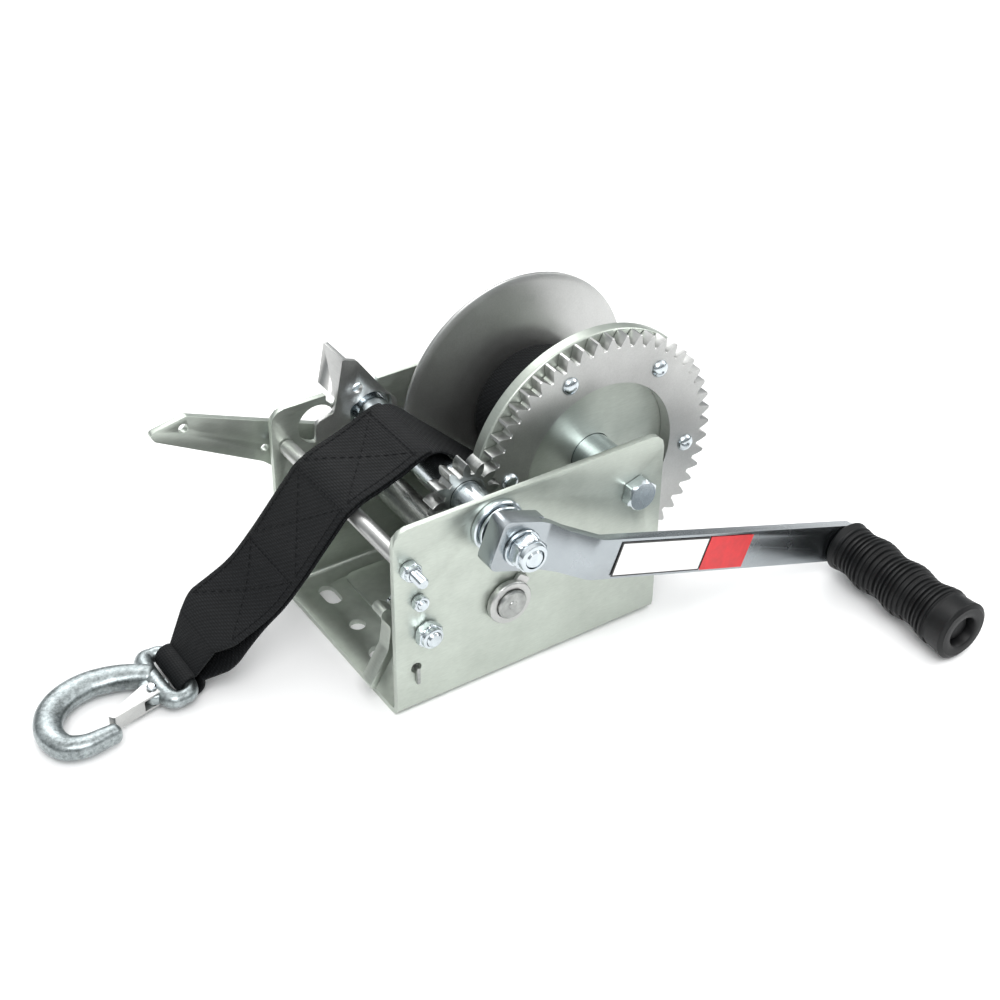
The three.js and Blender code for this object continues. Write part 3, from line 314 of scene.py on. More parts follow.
def grid_mesh(name, points, wrap_u, wrap_v, uv=None, sharp=math.radians(32), cap_ends=False):
    """Mesh from an array of points [u, v, xyz] in millimetres, joined round where a direction wraps."""
    rows, columns = points.shape[:2]
    index = np.arange(rows * columns).reshape(rows, columns)
    a = index if wrap_u else index[:-1]
    b = np.roll(index, -1, axis=0) if wrap_u else index[1:]
    if not wrap_v:
        quads = np.stack([a[:, :-1], b[:, :-1], b[:, 1:], a[:, 1:]], axis=-1)
    else:
        quads = np.stack([a, b, np.roll(b, -1, axis=1), np.roll(a, -1, axis=1)], axis=-1)
    faces = quads.reshape(-1, 4).tolist()
    if cap_ends:
        faces.append(index[0].tolist())
        faces.append(index[-1][::-1].tolist())
    mesh = bpy.data.meshes.new(name)
    mesh.from_pydata((points.reshape(-1, 3) * MM).tolist(), [], faces)
    if uv is not None:
        layer = mesh.uv_layers.new(name="weave")
        corners = np.empty(len(mesh.loops), dtype=np.int32)
        mesh.loops.foreach_get("vertex_index", corners)
        layer.data.foreach_set("uv", (uv.reshape(-1, 2)[corners] * MM).ravel())
    solid = bmesh.new()
    solid.from_mesh(mesh)
    bmesh.ops.remove_doubles(solid, verts=solid.verts, dist=2e-6)
    bmesh.ops.recalc_face_normals(solid, faces=solid.faces)
    for face in solid.faces:
        face.smooth = True
    for edge in solid.edges:
        if len(edge.link_faces) == 2 and edge.calc_face_angle(0.0) > sharp:
            edge.smooth = False
    solid.to_mesh(mesh)
    solid.free()
    obj = bpy.data.objects.new(name, mesh)
    bpy.context.scene.collection.objects.link(obj)
    return obj


def spun(name, profile, middle, flats=None, turn=0.0, segments=96, closed=True):
    """Profile of (radius, y) turned about y. With flats, the radius at an angle is the smaller of the
    profile's
    radius and the hexagon's: half the flats over the cosine of the angle from the nearest flat."""
    rings = np.array(profile, dtype=float)
    angle = np.linspace(0.0, 2.0 * np.pi, segments, endpoint=False)
    reach = np.repeat(rings[:, :1], segments, axis=1)
    if flats is not None:
        from_flat = (angle - turn) % (np.pi / 3.0) - np.pi / 6.0
        reach = np.minimum(reach, flats / 2.0 / np.cos(from_flat)[None, :])
    points = np.stack([
        middle[0] + reach * np.cos(angle)[None, :],
        np.repeat(rings[:, 1:], segments, axis=1),
        middle[1] + reach * np.sin(angle)[None, :],
    ], axis=-1)
    return grid_mesh(name, points, closed, True)


def refined(node, width, segments=3):
    """Merged copy of a frame node with its cut edges rounded."""
    mesh = bpy.data.meshes.new(node + "_fine")
    solid = bmesh.new()
    solid.from_mesh(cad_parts[node].data)
    bmesh.ops.remove_doubles(solid, verts=solid.verts, dist=2e-6)
    bmesh.ops.dissolve_limit(solid, angle_limit=math.radians(0.6), verts=solid.verts, edges=solid.edges)
    for face in solid.faces:
        face.smooth = True
    solid.to_mesh(mesh)
    solid.free()
    obj = bpy.data.objects.new(node + "_fine", mesh)
    bpy.context.scene.collection.objects.link(obj)
    bevel = obj.modifiers.new("edges", "BEVEL")
    bevel.width = width
    bevel.segments = segments
    bevel.limit_method = "ANGLE"
    bevel.angle_limit = math.radians(32)
    bevel.harden_normals = True
    return obj


def smooth_path(points, count):
    """Centripetal spline through the points, resampled at even spacing."""
    p = np.array(points, dtype=float)
    p = np.vstack([2 * p[0] - p[1], p, 2 * p[-1] - p[-2]])
    out = []
    for i in range(1, len(p) - 2):
        t = [0.0]
        for j in range(3):
            t.append(t[-1] + max(1e-6, np.linalg.norm(p[i + j] - p[i + j - 1])) ** 0.5)
        s = np.linspace(t[1], t[2], 24, endpoint=False)[:, None]
        a1 = (t[1] - s) / (t[1] - t[0]) * p[i - 1] + (s - t[0]) / (t[1] - t[0]) * p[i]
        a2 = (t[2] - s) / (t[2] - t[1]) * p[i] + (s - t[1]) / (t[2] - t[1]) * p[i + 1]
        a3 = (t[3] - s) / (t[3] - t[2]) * p[i + 1] + (s - t[2]) / (t[3] - t[2]) * p[i + 2]
        b1 = (t[2] - s) / (t[2] - t[0]) * a1 + (s - t[0]) / (t[2] - t[0]) * a2
        b2 = (t[3] - s) / (t[3] - t[1]) * a2 + (s - t[1]) / (t[3] - t[1]) * a3
        out.append((t[2] - s) / (t[2] - t[1]) * b1 + (s - t[1]) / (t[2] - t[1]) * b2)
    fine = np.vstack(out + [p[-2:-1]])
    length = np.concatenate([[0.0], np.cumsum(np.linalg.norm(np.diff(fine, axis=0), axis=1))])
    even = np.linspace(0.0, length[-1], count)
    return np.stack([np.interp(even, length, fine[:, k]) for k in range(fine.shape[1])], axis=-1)


def directions(path):
    """Unit tangent and left normal of a flat path."""
    tangent = np.gradient(path, axis=0)
    tangent /= np.linalg.norm(tangent, axis=1)[:, None]
    return tangent, np.stack([-tangent[:, 1], tangent[:, 0]], axis=-1)


# ---- stage ----
class WINCH_OT_stage(bpy.types.Operator):
    """Camera, pale floor and soft lights"""
    bl_idname = "winch.stage"
    bl_label = "Stage"

    def execute(self, context):
        scene = context.scene
        data = bpy.data.cameras.new("camera")
        data.sensor_width = 36.0
        data.lens = 63.66
        camera = bpy.data.objects.new("camera", data)
        scene.collection.objects.link(camera)
        turn = Matrix((
            (0.83442, 0.31563, -0.45180),
            (-0.55104, 0.49324, -0.67311),
            (0.01040, 0.81061, 0.58549),
        ))
        camera.matrix_world = Matrix.Translation((-0.40417, -0.63526, 0.60975)) @ turn.to_4x4()
        scene.camera = camera
        floor = bpy.data.meshes.new("floor")
        reach = 40.0
        floor.from_pydata([(-reach, -reach, 0), (reach, -reach, 0), (reach, reach, 0), (-reach, reach, 0)],
            [],
                          [(0, 1, 2, 3)])
        ground = bpy.data.objects.new("floor", floor)
        material, nodes, links, shader = new_material("pale_floor")
        shader.inputs["Base Color"].default_value = (0.93, 0.93, 0.93, 1.0)
        shader.inputs["Roughness"].default_value = 0.9
        floor.materials.append(material)
        scene.collection.objects.link(ground)
        world = bpy.data.worlds.new("studio")
        scene.world = world
        world.use_nodes = True
        nodes, links = world.node_tree.nodes, world.node_tree.links
        place = nodes.new("ShaderNodeTexCoord")
        split = nodes.new("ShaderNodeSeparateXYZ")
        links.new(place.outputs["Generated"], split.inputs["Vector"])
        links.new(ramp(nodes, links, split.outputs["Z"], [(0.02, (0.10, 0.11, 0.115)), (0.45, (0.42, 0.44,
            0.45)),
                                                         (0.8, (1.0, 1.0, 1.0))]),
                                                         nodes["Background"].inputs["Color"])
        nodes["Background"].inputs["Strength"].default_value = 1.25
        lamps = [
            ("key", (-0.5, -0.9, 1.3), 16.0, 0.9),
            ("fill", (1.2, -0.5, 0.8), 7.0, 0.8),
            ("back", (0.2, 1.2, 1.2), 9.0, 0.9),
        ]
        for name, place, power, size in lamps:
            light = bpy.data.lights.new(name, "AREA")
            light.energy = power
            light.size = size
            lamp = bpy.data.objects.new(name, light)
            scene.collection.objects.link(lamp)
            aim = -Matrix.Translation(place).to_translation()
            lamp.rotation_euler = aim.to_track_quat("-Z", "Y").to_euler()
            lamp.location = place
        scene.view_settings.view_transform = "Standard"
        return {"FINISHED"}


# ---- strap ----
TAIL_PATH = [
    [36.4, 57.3], [18, 74.9], [0, 92.2], [-11.5, 103.2], [-18.6, 110.4], [-25, 114.6], [-32, 115.4],
    [-39.5, 112.9],
    [-47, 109.4], [-59, 104.9], [-70, 101.3],
    [-78.2, 96.4], [-84.6, 88.6], [-91.6, 79.4], [-103.5, 63], [-115, 49], [-127, 39], [-139, 29.5], [-150,
    20],
]
LAP_START = -29.0
EYE = np.array([-160.0, 8.6])
EYE_BAR = 4.6
EYE_GAP = 0.6
WOUND_TURNS = 5.2
WOUND_PITCH = 2.8
WOUND_INNER = 20.6
STRAP_LEAVES = math.radians(-133.7)
WRAP_RADIUS = 39.04
STRAP_MID = 10.0
EYE_MID = 20.0
EYE_WIDTH = 30.0


def smoothstep(x, low, high):
    t = np.clip((x - low) / (high - low), 0.0, 1.0)
    return t * t * (3.0 - 2.0 * t)


def strap_section(columns, thickness):
    """Round-edged flat section: across from -0.5 to 0.5 of the width, and height in millimetres."""
    across = np.linspace(-0.5, 0.5, columns)
    top = np.full(columns, thickness / 2.0)
    top[[0, -1]] *= 0.45
    return np.concatenate([across, across[::-1]]), np.concatenate([top, -top])


def webbing_band(name, path, middle, width, thickness, bulge=0.0):
    """Flat section carried along a path in x and z. The strip's middle may shift and its width change, and it
    swells by a bulge that is greatest at its middle and fades at its edges."""
    normal = directions(path)[1]
    across, height = strap_section(30, thickness)
    lift = height[None, :] + np.asarray(bulge).reshape(-1, 1) * np.cos(np.pi * across)[None, :]
    y = middle[:, None] + across[None, :] * width[:, None]
    points = np.stack([
        path[:, 0, None] + normal[:, 0, None] * lift,
        y,
        path[:, 1, None] + normal[:, 1, None] * lift,
    ], axis=-1)
    length = np.concatenate([[0.0], np.cumsum(np.linalg.norm(np.diff(path, axis=0), axis=1))])
    uv = np.stack([np.repeat(length[:, None], len(across), axis=1), np.repeat(across[None, :] * 52.0,
        len(path), axis=0)],
                  axis=-1)
    return grid_mesh(name, points, False, True, uv, math.radians(60), cap_ends=True), length[-1]


def tail_route(half):
    """Strap centreline: under the wound pack, up and down over the spacer, round the hook's eye and
    back up to the
    cut end of the sewn lap. half is half the distance between the two sewn layers."""
    spine = smooth_path(TAIL_PATH, 260)
    normal = directions(spine)[1]
    reach = EYE_BAR + EYE_GAP + half
    part = smoothstep(-spine[:, 0], 118.0, 152.0) * (reach - half)
    apart = half * smoothstep(-spine[:, 0], -LAP_START - 6.0, -LAP_START + 10.0) + part
    under = spine + normal * apart[:, None]
    angle = np.radians(np.linspace(400.0, 228.0, 90))
    wrap = AXLE + WRAP_RADIUS * np.stack([np.cos(angle), np.sin(angle)], axis=-1)
    around = np.radians(np.linspace(20.0, -292.0, 46))
    loop = EYE + reach * np.stack([np.cos(around), np.sin(around)], axis=-1)
    back = (spine - normal * (half + part)[:, None])[spine[:, 0] < LAP_START + 0.5][::-1]
    lower = under[spine[:, 0] > -148.0]
    upper = back[back[:, 0] > -148.0]
    joined = np.vstack([wrap, lower, loop, upper])
    step = np.concatenate([[True], np.linalg.norm(np.diff(joined, axis=0), axis=1) > 0.4])
    return joined[step]


class WINCH_OT_strap(bpy.types.Operator):
    """Free strap with its sewn lap, the wound pack and the stitching"""
    bl_idname = "winch.strap"
    bl_label = "Strap"

    def execute(self, context):
        thickness = settings().strap_thickness / MM
        width = settings().strap_width / MM
        route = tail_route(thickness / 2.0 + 0.08)
        drift = smoothstep(-route[:, 0], 70.0, 145.0)
        narrow = smoothstep(-route[:, 0], 137.0, 157.0)
        middle = STRAP_MID + drift * (EYE_MID - STRAP_MID)
        breadth = width + narrow * (EYE_WIDTH - width)
        tail, length = webbing_band("strap_free", route, middle, breadth, thickness)
        finish_piece(tail, "frame", "webbing", ["strap_tail"])
        low, high = span("strap_winding")
        inner = WOUND_INNER + thickness / 2.0
        count = int(WOUND_TURNS * 60)
        sweep = np.linspace(0.0, 2.0 * np.pi * WOUND_TURNS, count)
        reach = inner + WOUND_PITCH * sweep / (2.0 * np.pi)
        angle = STRAP_LEAVES + 2.0 * np.pi * WOUND_TURNS - sweep
        coil = AXLE + reach[:, None] * np.stack([np.cos(angle), np.sin(angle)], axis=-1)
        centre_y = np.full(count, (low[1] + high[1]) / 2.0) + 0.5 * np.sin(sweep * 0.7)
        pack = webbing_band("strap_wound", coil, centre_y, np.full(count, width - 0.8), thickness + 0.5)[0]
        finish_piece(pack, "reel", "webbing", ["strap_winding"])
        stitch_rows(route, middle, breadth, thickness)
        return {"FINISHED"}


def stitch_rows(route, middle, breadth, thickness):
    """Rows of short thread loops on the upper layer: two long crossing lines in each of three boxes."""
    turn = int(np.argmin(route[:, 0]))
    upper = route[turn:]
    tangent, normal = directions(upper)
    length = np.concatenate([[0.0], np.cumsum(np.linalg.norm(np.diff(upper, axis=0), axis=1))])
    total = length[-1]
    starts = []
    for box in range(3):
        a = total - 8.0 - box * 46.0
        b = a - 40.0
        n = 13
        s = np.linspace(a, b, n)
        w = np.linspace(-0.4, 0.4, n)
        starts += [np.stack([s, w], -1), np.stack([s, -w], -1), np.stack([s, np.full(n, 0.43)], -1),
                   np.stack([s, np.full(n, -0.43)], -1)]
        across = np.linspace(-0.43, 0.43, 14)
        starts += [np.stack([np.full(14, a), across], -1)]
    rows = []
    for line in starts:
        heading = (line[-1] - line[0]) * np.array([1.0, 52.0])
        heading /= np.linalg.norm(heading)
        rows += [np.concatenate([point, heading]) for point in line]
    marks = np.array(rows)
    s, w = marks[:, 0], marks[:, 1]
    place = np.stack([np.interp(s, length, upper[:, k]) for k in range(2)], -1)
    t = np.stack([np.interp(s, length, tangent[:, k]) for k in range(2)], -1)
    n = np.stack([np.interp(s, length, normal[:, k]) for k in range(2)], -1)
    y = np.interp(s, length, middle[turn:]) + w * np.interp(s, length, breadth[turn:])
    sign = np.sign(n[:, 1])[:, None]
    top = place + n * sign * (thickness / 2.0)
    ring = np.radians(np.arange(6) * 60.0)
    lobe = np.linspace(-1.0, 1.0, 5)
    round_off = np.sqrt(np.clip(1.0 - lobe ** 2, 0.02, 1.0))
    u = lobe[None, :, None] * 1.5 + 0.0 * ring[None, None, :]
    side = round_off[None, :, None] * 0.42 * np.cos(ring)[None, None, :]
    lift = round_off[None, :, None] * 0.34 * np.sin(ring)[None, None, :] + 0.12
    hs, hw = marks[:, 2, None, None], marks[:, 3, None, None]
    ahead = u * hs - side * hw
    over = u * hw + side * hs
    x = top[:, 0, None, None] + t[:, 0, None, None] * ahead + (n * sign)[:, 0, None, None] * lift
    z = top[:, 1, None, None] + t[:, 1, None, None] * ahead + (n * sign)[:, 1, None, None] * lift
    points = np.stack([x, y[:, None, None] + over, z], axis=-1)
    count = len(marks)
    index = np.arange(count * 30).reshape(count, 5, 6)
    a, b = index[:, :-1], index[:, 1:]
    quads = np.stack([a, b, np.roll(b, -1, axis=2), np.roll(a, -1, axis=2)], axis=-1).reshape(-1, 4)
    ends = np.concatenate([index[:, 0], index[:, -1, ::-1]])
    mesh = bpy.data.meshes.new("stitches")
    mesh.from_pydata((points.reshape(-1, 3) * MM).tolist(), [], quads.tolist() + ends.tolist())
    solid = bmesh.new()
    solid.from_mesh(mesh)
    bmesh.ops.recalc_face_normals(solid, faces=solid.faces)
    solid.to_mesh(mesh)
    solid.free()
    obj = bpy.data.objects.new("stitches", mesh)
    bpy.context.scene.collection.objects.link(obj)
    mesh.uv_layers.new(name="weave")
    finish_piece(obj, "frame", "webbing")


# ---- hook ----
HOOK_SPINE = [
    [-172, 22], [-181, 28.5], [-193, 33.5], [-206, 35], [-219, 31.5], [-229, 23], [-233.5, 11], [-230.5,
    -0.5],
    [-221.5, -5.2], [-211, -5], [-202.5, -4.6],
]


def hook_forging(middle_z):
    """Rounded section carried along the hook's spine. The section is a superellipse of power 2.6: half
    width times
    the signed power of the cosine and half height times that of the sine. Its width swells over the bowl and
    tapers to the tip, and its ends close in a quarter round."""
    spine = smooth_path(HOOK_SPINE, 150)
    normal = directions(spine)[1]
    t = np.linspace(0.0, 1.0, len(spine))
    width = 11.8 + 3.6 * np.sin(np.pi * np.clip(t * 1.05, 0.0, 1.0)) - 3.4 * t ** 4
    height = 12.0 - 2.2 * t ** 3
    close = np.sqrt(np.clip(1.0 - np.clip((t - 0.965) / 0.035, 0.0, 1.0) ** 2, 0.002, 1.0))
    close *= np.sqrt(np.clip(1.0 - np.clip((0.03 - t) / 0.03, 0.0, 1.0) ** 2, 0.002, 1.0))
    angle = np.linspace(0.0, 2.0 * np.pi, 48, endpoint=False)
    ridge = 2.0 / 2.6
    across = np.sign(np.cos(angle)) * np.abs(np.cos(angle)) ** ridge
    up = np.sign(np.sin(angle)) * np.abs(np.sin(angle)) ** ridge
    inward = 1.0 - 0.22 * np.clip(across, 0.0, 1.0) * np.sin(np.pi * t)[:, None]
    side = across[None, :] * (width * close / 2.0)[:, None]
    z = middle_z + up[None, :] * (height * close / 2.0)[:, None] * inward
    points = np.stack([
        spine[:, 0, None] + normal[:, 0, None] * side,
        spine[:, 1, None] + normal[:, 1, None] * side,
        z,
    ], axis=-1)
    return grid_mesh("hook_forging", points, False, True, sharp=math.radians(70), cap_ends=True)


def hook_eye(middle_z):
    """Round bar bent into a closed rounded rectangle: a superellipse of power 4 round the strap's
    loop, with the
    bar thicker at the neck."""
    low_y, high_y = EYE_MID - EYE_WIDTH / 2.0 - EYE_BAR, EYE_MID + EYE_WIDTH / 2.0 + EYE_BAR
    angle = np.linspace(0.0, 2.0 * np.pi, 120, endpoint=False)
    power = 2.0 / 3.4
    half_x, half_y = 7.2, (high_y - low_y) / 2.0 - 0.6
    cx = EYE[0] - 7.2
    ux = np.sign(np.cos(angle)) * np.abs(np.cos(angle)) ** power
    uy = np.sign(np.sin(angle)) * np.abs(np.sin(angle)) ** power
    path = np.stack([cx + half_x * ux, EYE_MID + half_y * uy], axis=-1)
    tangent = np.roll(path, -1, axis=0) - np.roll(path, 1, axis=0)
    tangent /= np.linalg.norm(tangent, axis=1)[:, None]
    outward = np.stack([tangent[:, 1], -tangent[:, 0]], axis=-1)
    neck = np.clip(-ux, 0.0, 1.0)
    bar = 3.9 + 1.2 * neck
    turn = np.linspace(0.0, 2.0 * np.pi, 28, endpoint=False)
    rise = middle_z + 0.6 * np.clip(ux, 0.0, 1.0)
    points = np.stack([
        path[:, 0, None] + outward[:, 0, None] * bar[:, None] * np.cos(turn)[None, :],
        path[:, 1, None] + outward[:, 1, None] * bar[:, None] * np.cos(turn)[None, :],
        rise[:, None] + bar[:, None] * np.sin(turn)[None, :],
    ], axis=-1)
    return grid_mesh("hook_eye", points, True, True, sharp=math.radians(70))


class WINCH_OT_hook(bpy.types.Operator):
    """Forged hook, its eye, the ear for the latch, the sheet latch and its pin"""
    bl_idname = "winch.hook"
    bl_label = "Hook"

    def execute(self, context):
        middle_z = 8.0
        forging = hook_forging(middle_z)
        finish_piece(forging, "hook", "forged_zinc", ["hook"])
        finish_piece(hook_eye(middle_z), "hook", "forged_zinc")
        pin = span("latch_pin")
        px, py = (pin[0][0] + pin[1][0]) / 2, (pin[0][1] + pin[1][1]) / 2
        blend = np.linspace(0.0, 2.0 * np.pi, 64, endpoint=False)
        rings = []
        for shrink, z in ((0.62, -3.2), (0.94, -2.8), (1.0, -2.0), (1.0, 2.0), (0.94, 2.8), (0.62, 3.2)):
            rings.append(np.stack([
                px + 2.0 + shrink * (8.0 * np.cos(blend)),
                py + 2.6 + shrink * (9.0 * np.sin(blend)),
                np.full(64, middle_z + z),
            ], axis=-1))
        ear = grid_mesh("latch_ear", np.array(rings), False, True, sharp=math.radians(50), cap_ends=True)
        finish_piece(ear, "hook", "forged_zinc")
        latch = refined("hook_latch", 0.0004)
        finish_piece(latch, "latch", "flange_steel", ["hook_latch"])
        z = middle_z
        rivet = []
        for r, h in ((0.01, -5.9), (1.6, -5.9), (2.5, -5.3), (2.6, -4.5), (1.6, -4.3), (1.6, 4.3), (2.6, 4.5),
                     (2.5, 5.3), (1.6, 5.9), (0.01, 5.9)):
            rivet.append(np.stack([px + r * np.cos(blend), py + r * np.sin(blend), np.full(64, z + h)],
                axis=-1))
        peened = grid_mesh("latch_rivet", np.array(rivet), False, True, cap_ends=True)
        finish_piece(peened, "hook", "bright_steel", ["latch_pin"])
        return {"FINISHED"}


# ---- frame and sheet parts ----
class WINCH_OT_sheet_parts(bpy.types.Operator):
    """Bent frame, crank arm, levers and plates with rounded cut edges"""
    bl_idname = "winch.sheet_parts"
    bl_label = "Sheet parts"

    def execute(self, context):
        edge = settings().edge_round
        parts = [
            ("frame_channel", "frame", "zinc_sheet", "zinc_sheet", edge),
            ("crank_arm", "drive", "bright_steel", "arm_steel", edge * 2.2),
            ("pawl", "pawl", "zinc_sheet", "zinc_sheet", edge),
            ("pawl_spring", "frame", "dark_steel", "dark_steel", edge * 0.5),
            ("shift_lock_plate", "shift_lock", "zinc_sheet", "flange_steel", edge * 0.8),
            ("brake_lever", "brake", "zinc_sheet", "zinc_sheet", edge * 1.2),
            ("brake_shoe", "brake", "dark_steel", "dark_steel", edge),
            ("layshaft_ring", "layshaft", "dark_steel", "dark_steel", edge * 0.4),
            ("layshaft_bush_near", "frame", "zinc_sheet", "flange_steel", edge * 0.8),
            ("layshaft_bush_far", "frame", "zinc_sheet", "flange_steel", edge * 0.8),
        ]
        for node, body, slot, material, width in parts:
            finish_piece(refined(node, width), body, material, [node])
        return {"FINISHED"}


# ---- turned parts ----
def thread(radius_out, start, end, pitch):
    """Profile of ring grooves between two y values: crest, root, crest for each pitch."""
    count = max(1, int(abs(end - start) / pitch))
    step = (end - start) / count
    points = []
    for i in range(count):
        points += [(radius_out, start + step * i), (radius_out - pitch * 0.45, start + step * (i + 0.5))]
    return points + [(radius_out, end)]


def bolt(name, middle, flats, head_face, head_end, shank, thread_from, end, turn):
    """Closed profile from the head's outer face over its chamfer, down the shank and along the thread."""
    s = 1.0 if head_end > head_face else -1.0
    profile = [(0.02, head_end), (flats * 0.3, head_end), (flats * 0.47, head_end), (flats * 0.5,
        head_end - s * 0.45),
               (flats * 0.58, head_end - s * 1.3), (flats * 0.6, head_face), (shank, head_face)]
    profile += thread(shank, thread_from, end + s * 0.8, 1.0)
    profile += [(shank * 0.8, end), (0.02, end)]
    return spun(name, profile, middle, flats, turn, 96, True)


def nut(name, middle, flats, bore, low, high, collar, turn):
    """Nut with chamfered corners. collar is -1 or 1 for a round collar at the low or the high end, or 0."""
    deep = (high - low) * 0.3 if collar else 0.0
    a = low + (deep if collar < 0 else 0.0)
    b = high - (deep if collar > 0 else 0.0)
    profile = [(bore, low)]
    if collar < 0:
        profile += [(flats * 0.36, low), (flats * 0.43, low + 0.5), (flats * 0.44, low + 1.0),
            (flats * 0.46, a)]
    profile += [(flats * 0.485, a), (flats * 0.53, a + 0.5), (flats * 0.6, a + 1.3), (flats * 0.6, b - 1.3),
                (flats * 0.53, b - 0.5), (flats * 0.485, b)]
    if collar > 0:
        profile += [(flats * 0.46, b), (flats * 0.44, high - 1.0), (flats * 0.43, high - 0.5),
            (flats * 0.36, high)]
    profile += [(bore, high)]
    return spun(name, profile, middle, flats, turn, 96, True)


class WINCH_OT_fasteners(bpy.types.Operator):
    """Bolts, nuts, rivets, spacers and washers"""
    bl_idname = "winch.fasteners"
    bl_label = "Fasteners"

    def execute(self, context):
        bolts = [
            ("front_bolt", 10.0, 3.0, 0.2, 1, 4.0),
            ("pawl_bolt", 13.0, 4.0, 0.4, 1, 5.0),
            ("reel_axle_bolt", 16.5, 6.0, 0.3, -1, 6.2),
            ("brake_bolt", 13.0, 4.0, 0.1, 1, 5.0),
        ]
        for node, flats, shank, turn, side, head in bolts:
            low, high = along_y(node)
            head_end, end = (high, low) if side > 0 else (low, high)
            piece = bolt(node + "_turned", centre(node), flats, head_end - side * head, head_end, shank,
                         end + side * 14.0, end, turn)
            finish_piece(piece, "frame", "bright_steel", [node])
        nuts = [
            ("front_bolt_nut", 10.0, 3.3, 0.2, -1, "frame"),
            ("stop_screw_nut", 8.0, 2.8, 0.3, 0, "frame"),
            ("pawl_bolt_nut", 13.0, 4.3, 0.4, -1, "frame"),
            ("reel_axle_nut", 17.0, 6.3, 0.3, 1, "frame"),
            ("brake_nut", 13.0, 4.3, 0.1, -1, "frame"),
            ("crank_nut", 17.0, 5.3, 0.2, -1, "drive"),
        ]
        for node, flats, bore, turn, collar, body in nuts:
            low, high = along_y(node)
            piece = nut(node + "_turned", centre(node), flats, bore, low, high, collar, turn)
            finish_piece(piece, body, "bright_steel", [node])
        rings = [
            ("front_spacer_tube", 3.3, "frame", "zinc_sheet", "flange_steel"),
            ("pawl_spacer", 4.3, "frame", "bright_steel", "bright_steel"),
            ("brake_spacer", 4.3, "frame", "zinc_sheet", "flange_steel"),
            ("axle_sleeve", 6.3, "frame", "zinc_sheet", "flange_steel"),
            ("shift_washer", 9.4, "shifter", "bright_steel", "bright_steel"),
            ("crank_washer", 5.3, "drive", "bright_steel", "bright_steel"),
        ]
        for node, bore, body, slot, material in rings:
            low, high = along_y(node)
            out = radius(node)
            profile = [(bore, low), (out - 0.35, low), (out, low + 0.35), (out, high - 0.35), (out - 0.35,
                high),
                       (bore, high)]
            finish_piece(spun(node + "_turned", profile, centre(node)), body, material, [node])
        for number in range(1, 7):
            node = "gear_rivet_%d" % number
            low, high = along_y(node)
            middle = centre(node)
            dome = [(4.9 * math.sin(a), low + 3.0 * (1.0 - math.cos(a))) for a in np.linspace(0.02,
                math.pi / 2, 9)]
            profile = dome + [(4.8, low + 2.95), (3.0, low + 3.0), (3.0, high), (0.02, high)]
            finish_piece(spun(node + "_turned", profile, middle, segments=48), "reel",
                "bright_steel",
                         [node])
        low, high = along_y("stop_screw")
        profile = [(0.02, high), (3.4, high), (4.4, high - 0.8), (4.4, high - 6.4), (3.9, high - 7.0),
            (2.5, high - 7.0)]
        profile += thread(2.5, high - 8.0, low + 0.6, 0.8) + [(1.9, low), (0.02, low)]
        finish_piece(spun("stop_screw_turned", profile, centre("stop_screw")), "frame",
                     "bright_steel", ["stop_screw"])
        low, high = along_y("shift_lock_pivot")
        profile = [(0.02, low), (3.2, low), (4.2, low + 0.9), (4.4, low + 1.9), (2.5, low + 2.0), (2.5,
            high - 2.0),
                   (4.2, high - 2.0), (4.1, high - 1.0), (2.8, high - 0.1), (0.02, high)]
        finish_piece(spun("shift_lock_pivot_turned", profile, centre("shift_lock_pivot")), "frame",
                     "flange_steel", ["shift_lock_pivot"])
        return {"FINISHED"}


class WINCH_OT_shafts(bpy.types.Operator):
    """Drive shaft, layshaft, drive bushes and the grip's spindle"""
    bl_idname = "winch.shafts"
    bl_label = "Shafts"

    def execute(self, context):
        low, high = along_y("drive_shaft")
        hub = span("crank_washer")[1][1]
        profile = [(0.02, low), (3.9, low), (4.9, low + 0.9)] + thread(4.9, low + 1.0, hub, 1.2)
        profile += [(4.9, hub + 6.0), (7.0, hub + 6.1), (7.0, NEAR_OUT - 8.0), (9.0, NEAR_OUT - 7.0), (9.0,
            55.2),
                    (6.4, 55.3), (6.4, 60.2), (9.0, 60.3), (9.0, high - 0.8), (8.2, high), (0.02, high)]
        finish_piece(spun("drive_shaft_turned", profile, DRIVE), "drive", "bright_steel",
                     ["drive_shaft"])
        low, high = along_y("layshaft")
        profile = [(0.02, low), (2.0, low), (2.4, low + 0.5), (7.4, low + 0.1), (8.3, low + 0.9), (8.3,
            high - 0.9),
                   (7.4, high), (0.02, high)]
        finish_piece(spun("layshaft_turned", profile, LAY), "layshaft", "dark_steel",
            ["layshaft"])
        for node, side in (("drive_bush_near", -1.0), ("drive_bush_far", 1.0)):
            low, high = along_y(node)
            outer, inner = (low, high) if side < 0 else (high, low)
            face = (NEAR_OUT if side < 0 else FAR_OUT) + side * 0.3
            profile = [(9.4, outer), (10.6, outer), (10.9, outer - side * 0.5), (13.6, outer - side * 0.5),
                       (14.3, outer - side * 1.2), (14.3, face), (11.7, face), (11.7, inner), (9.4, inner)]
            finish_piece(spun(node + "_turned", profile, DRIVE), "frame", "bright_steel",
                [node])
        low, high = along_y("grip_spindle")
        profile = [(0.02, low), (3.0, low), (6.6, low + 0.4), (7.4, low + 1.2), (7.4, low + 2.4), (5.0,
            low + 2.5),
                   (5.0, high - 3.0), (8.0, high - 2.9), (8.0, high - 1.4), (6.4, high - 0.2), (0.02, high)]
        finish_piece(spun("grip_spindle_turned", profile, PIN), "drive", "rubber",
                     ["grip_spindle"])
        return {"FINISHED"}


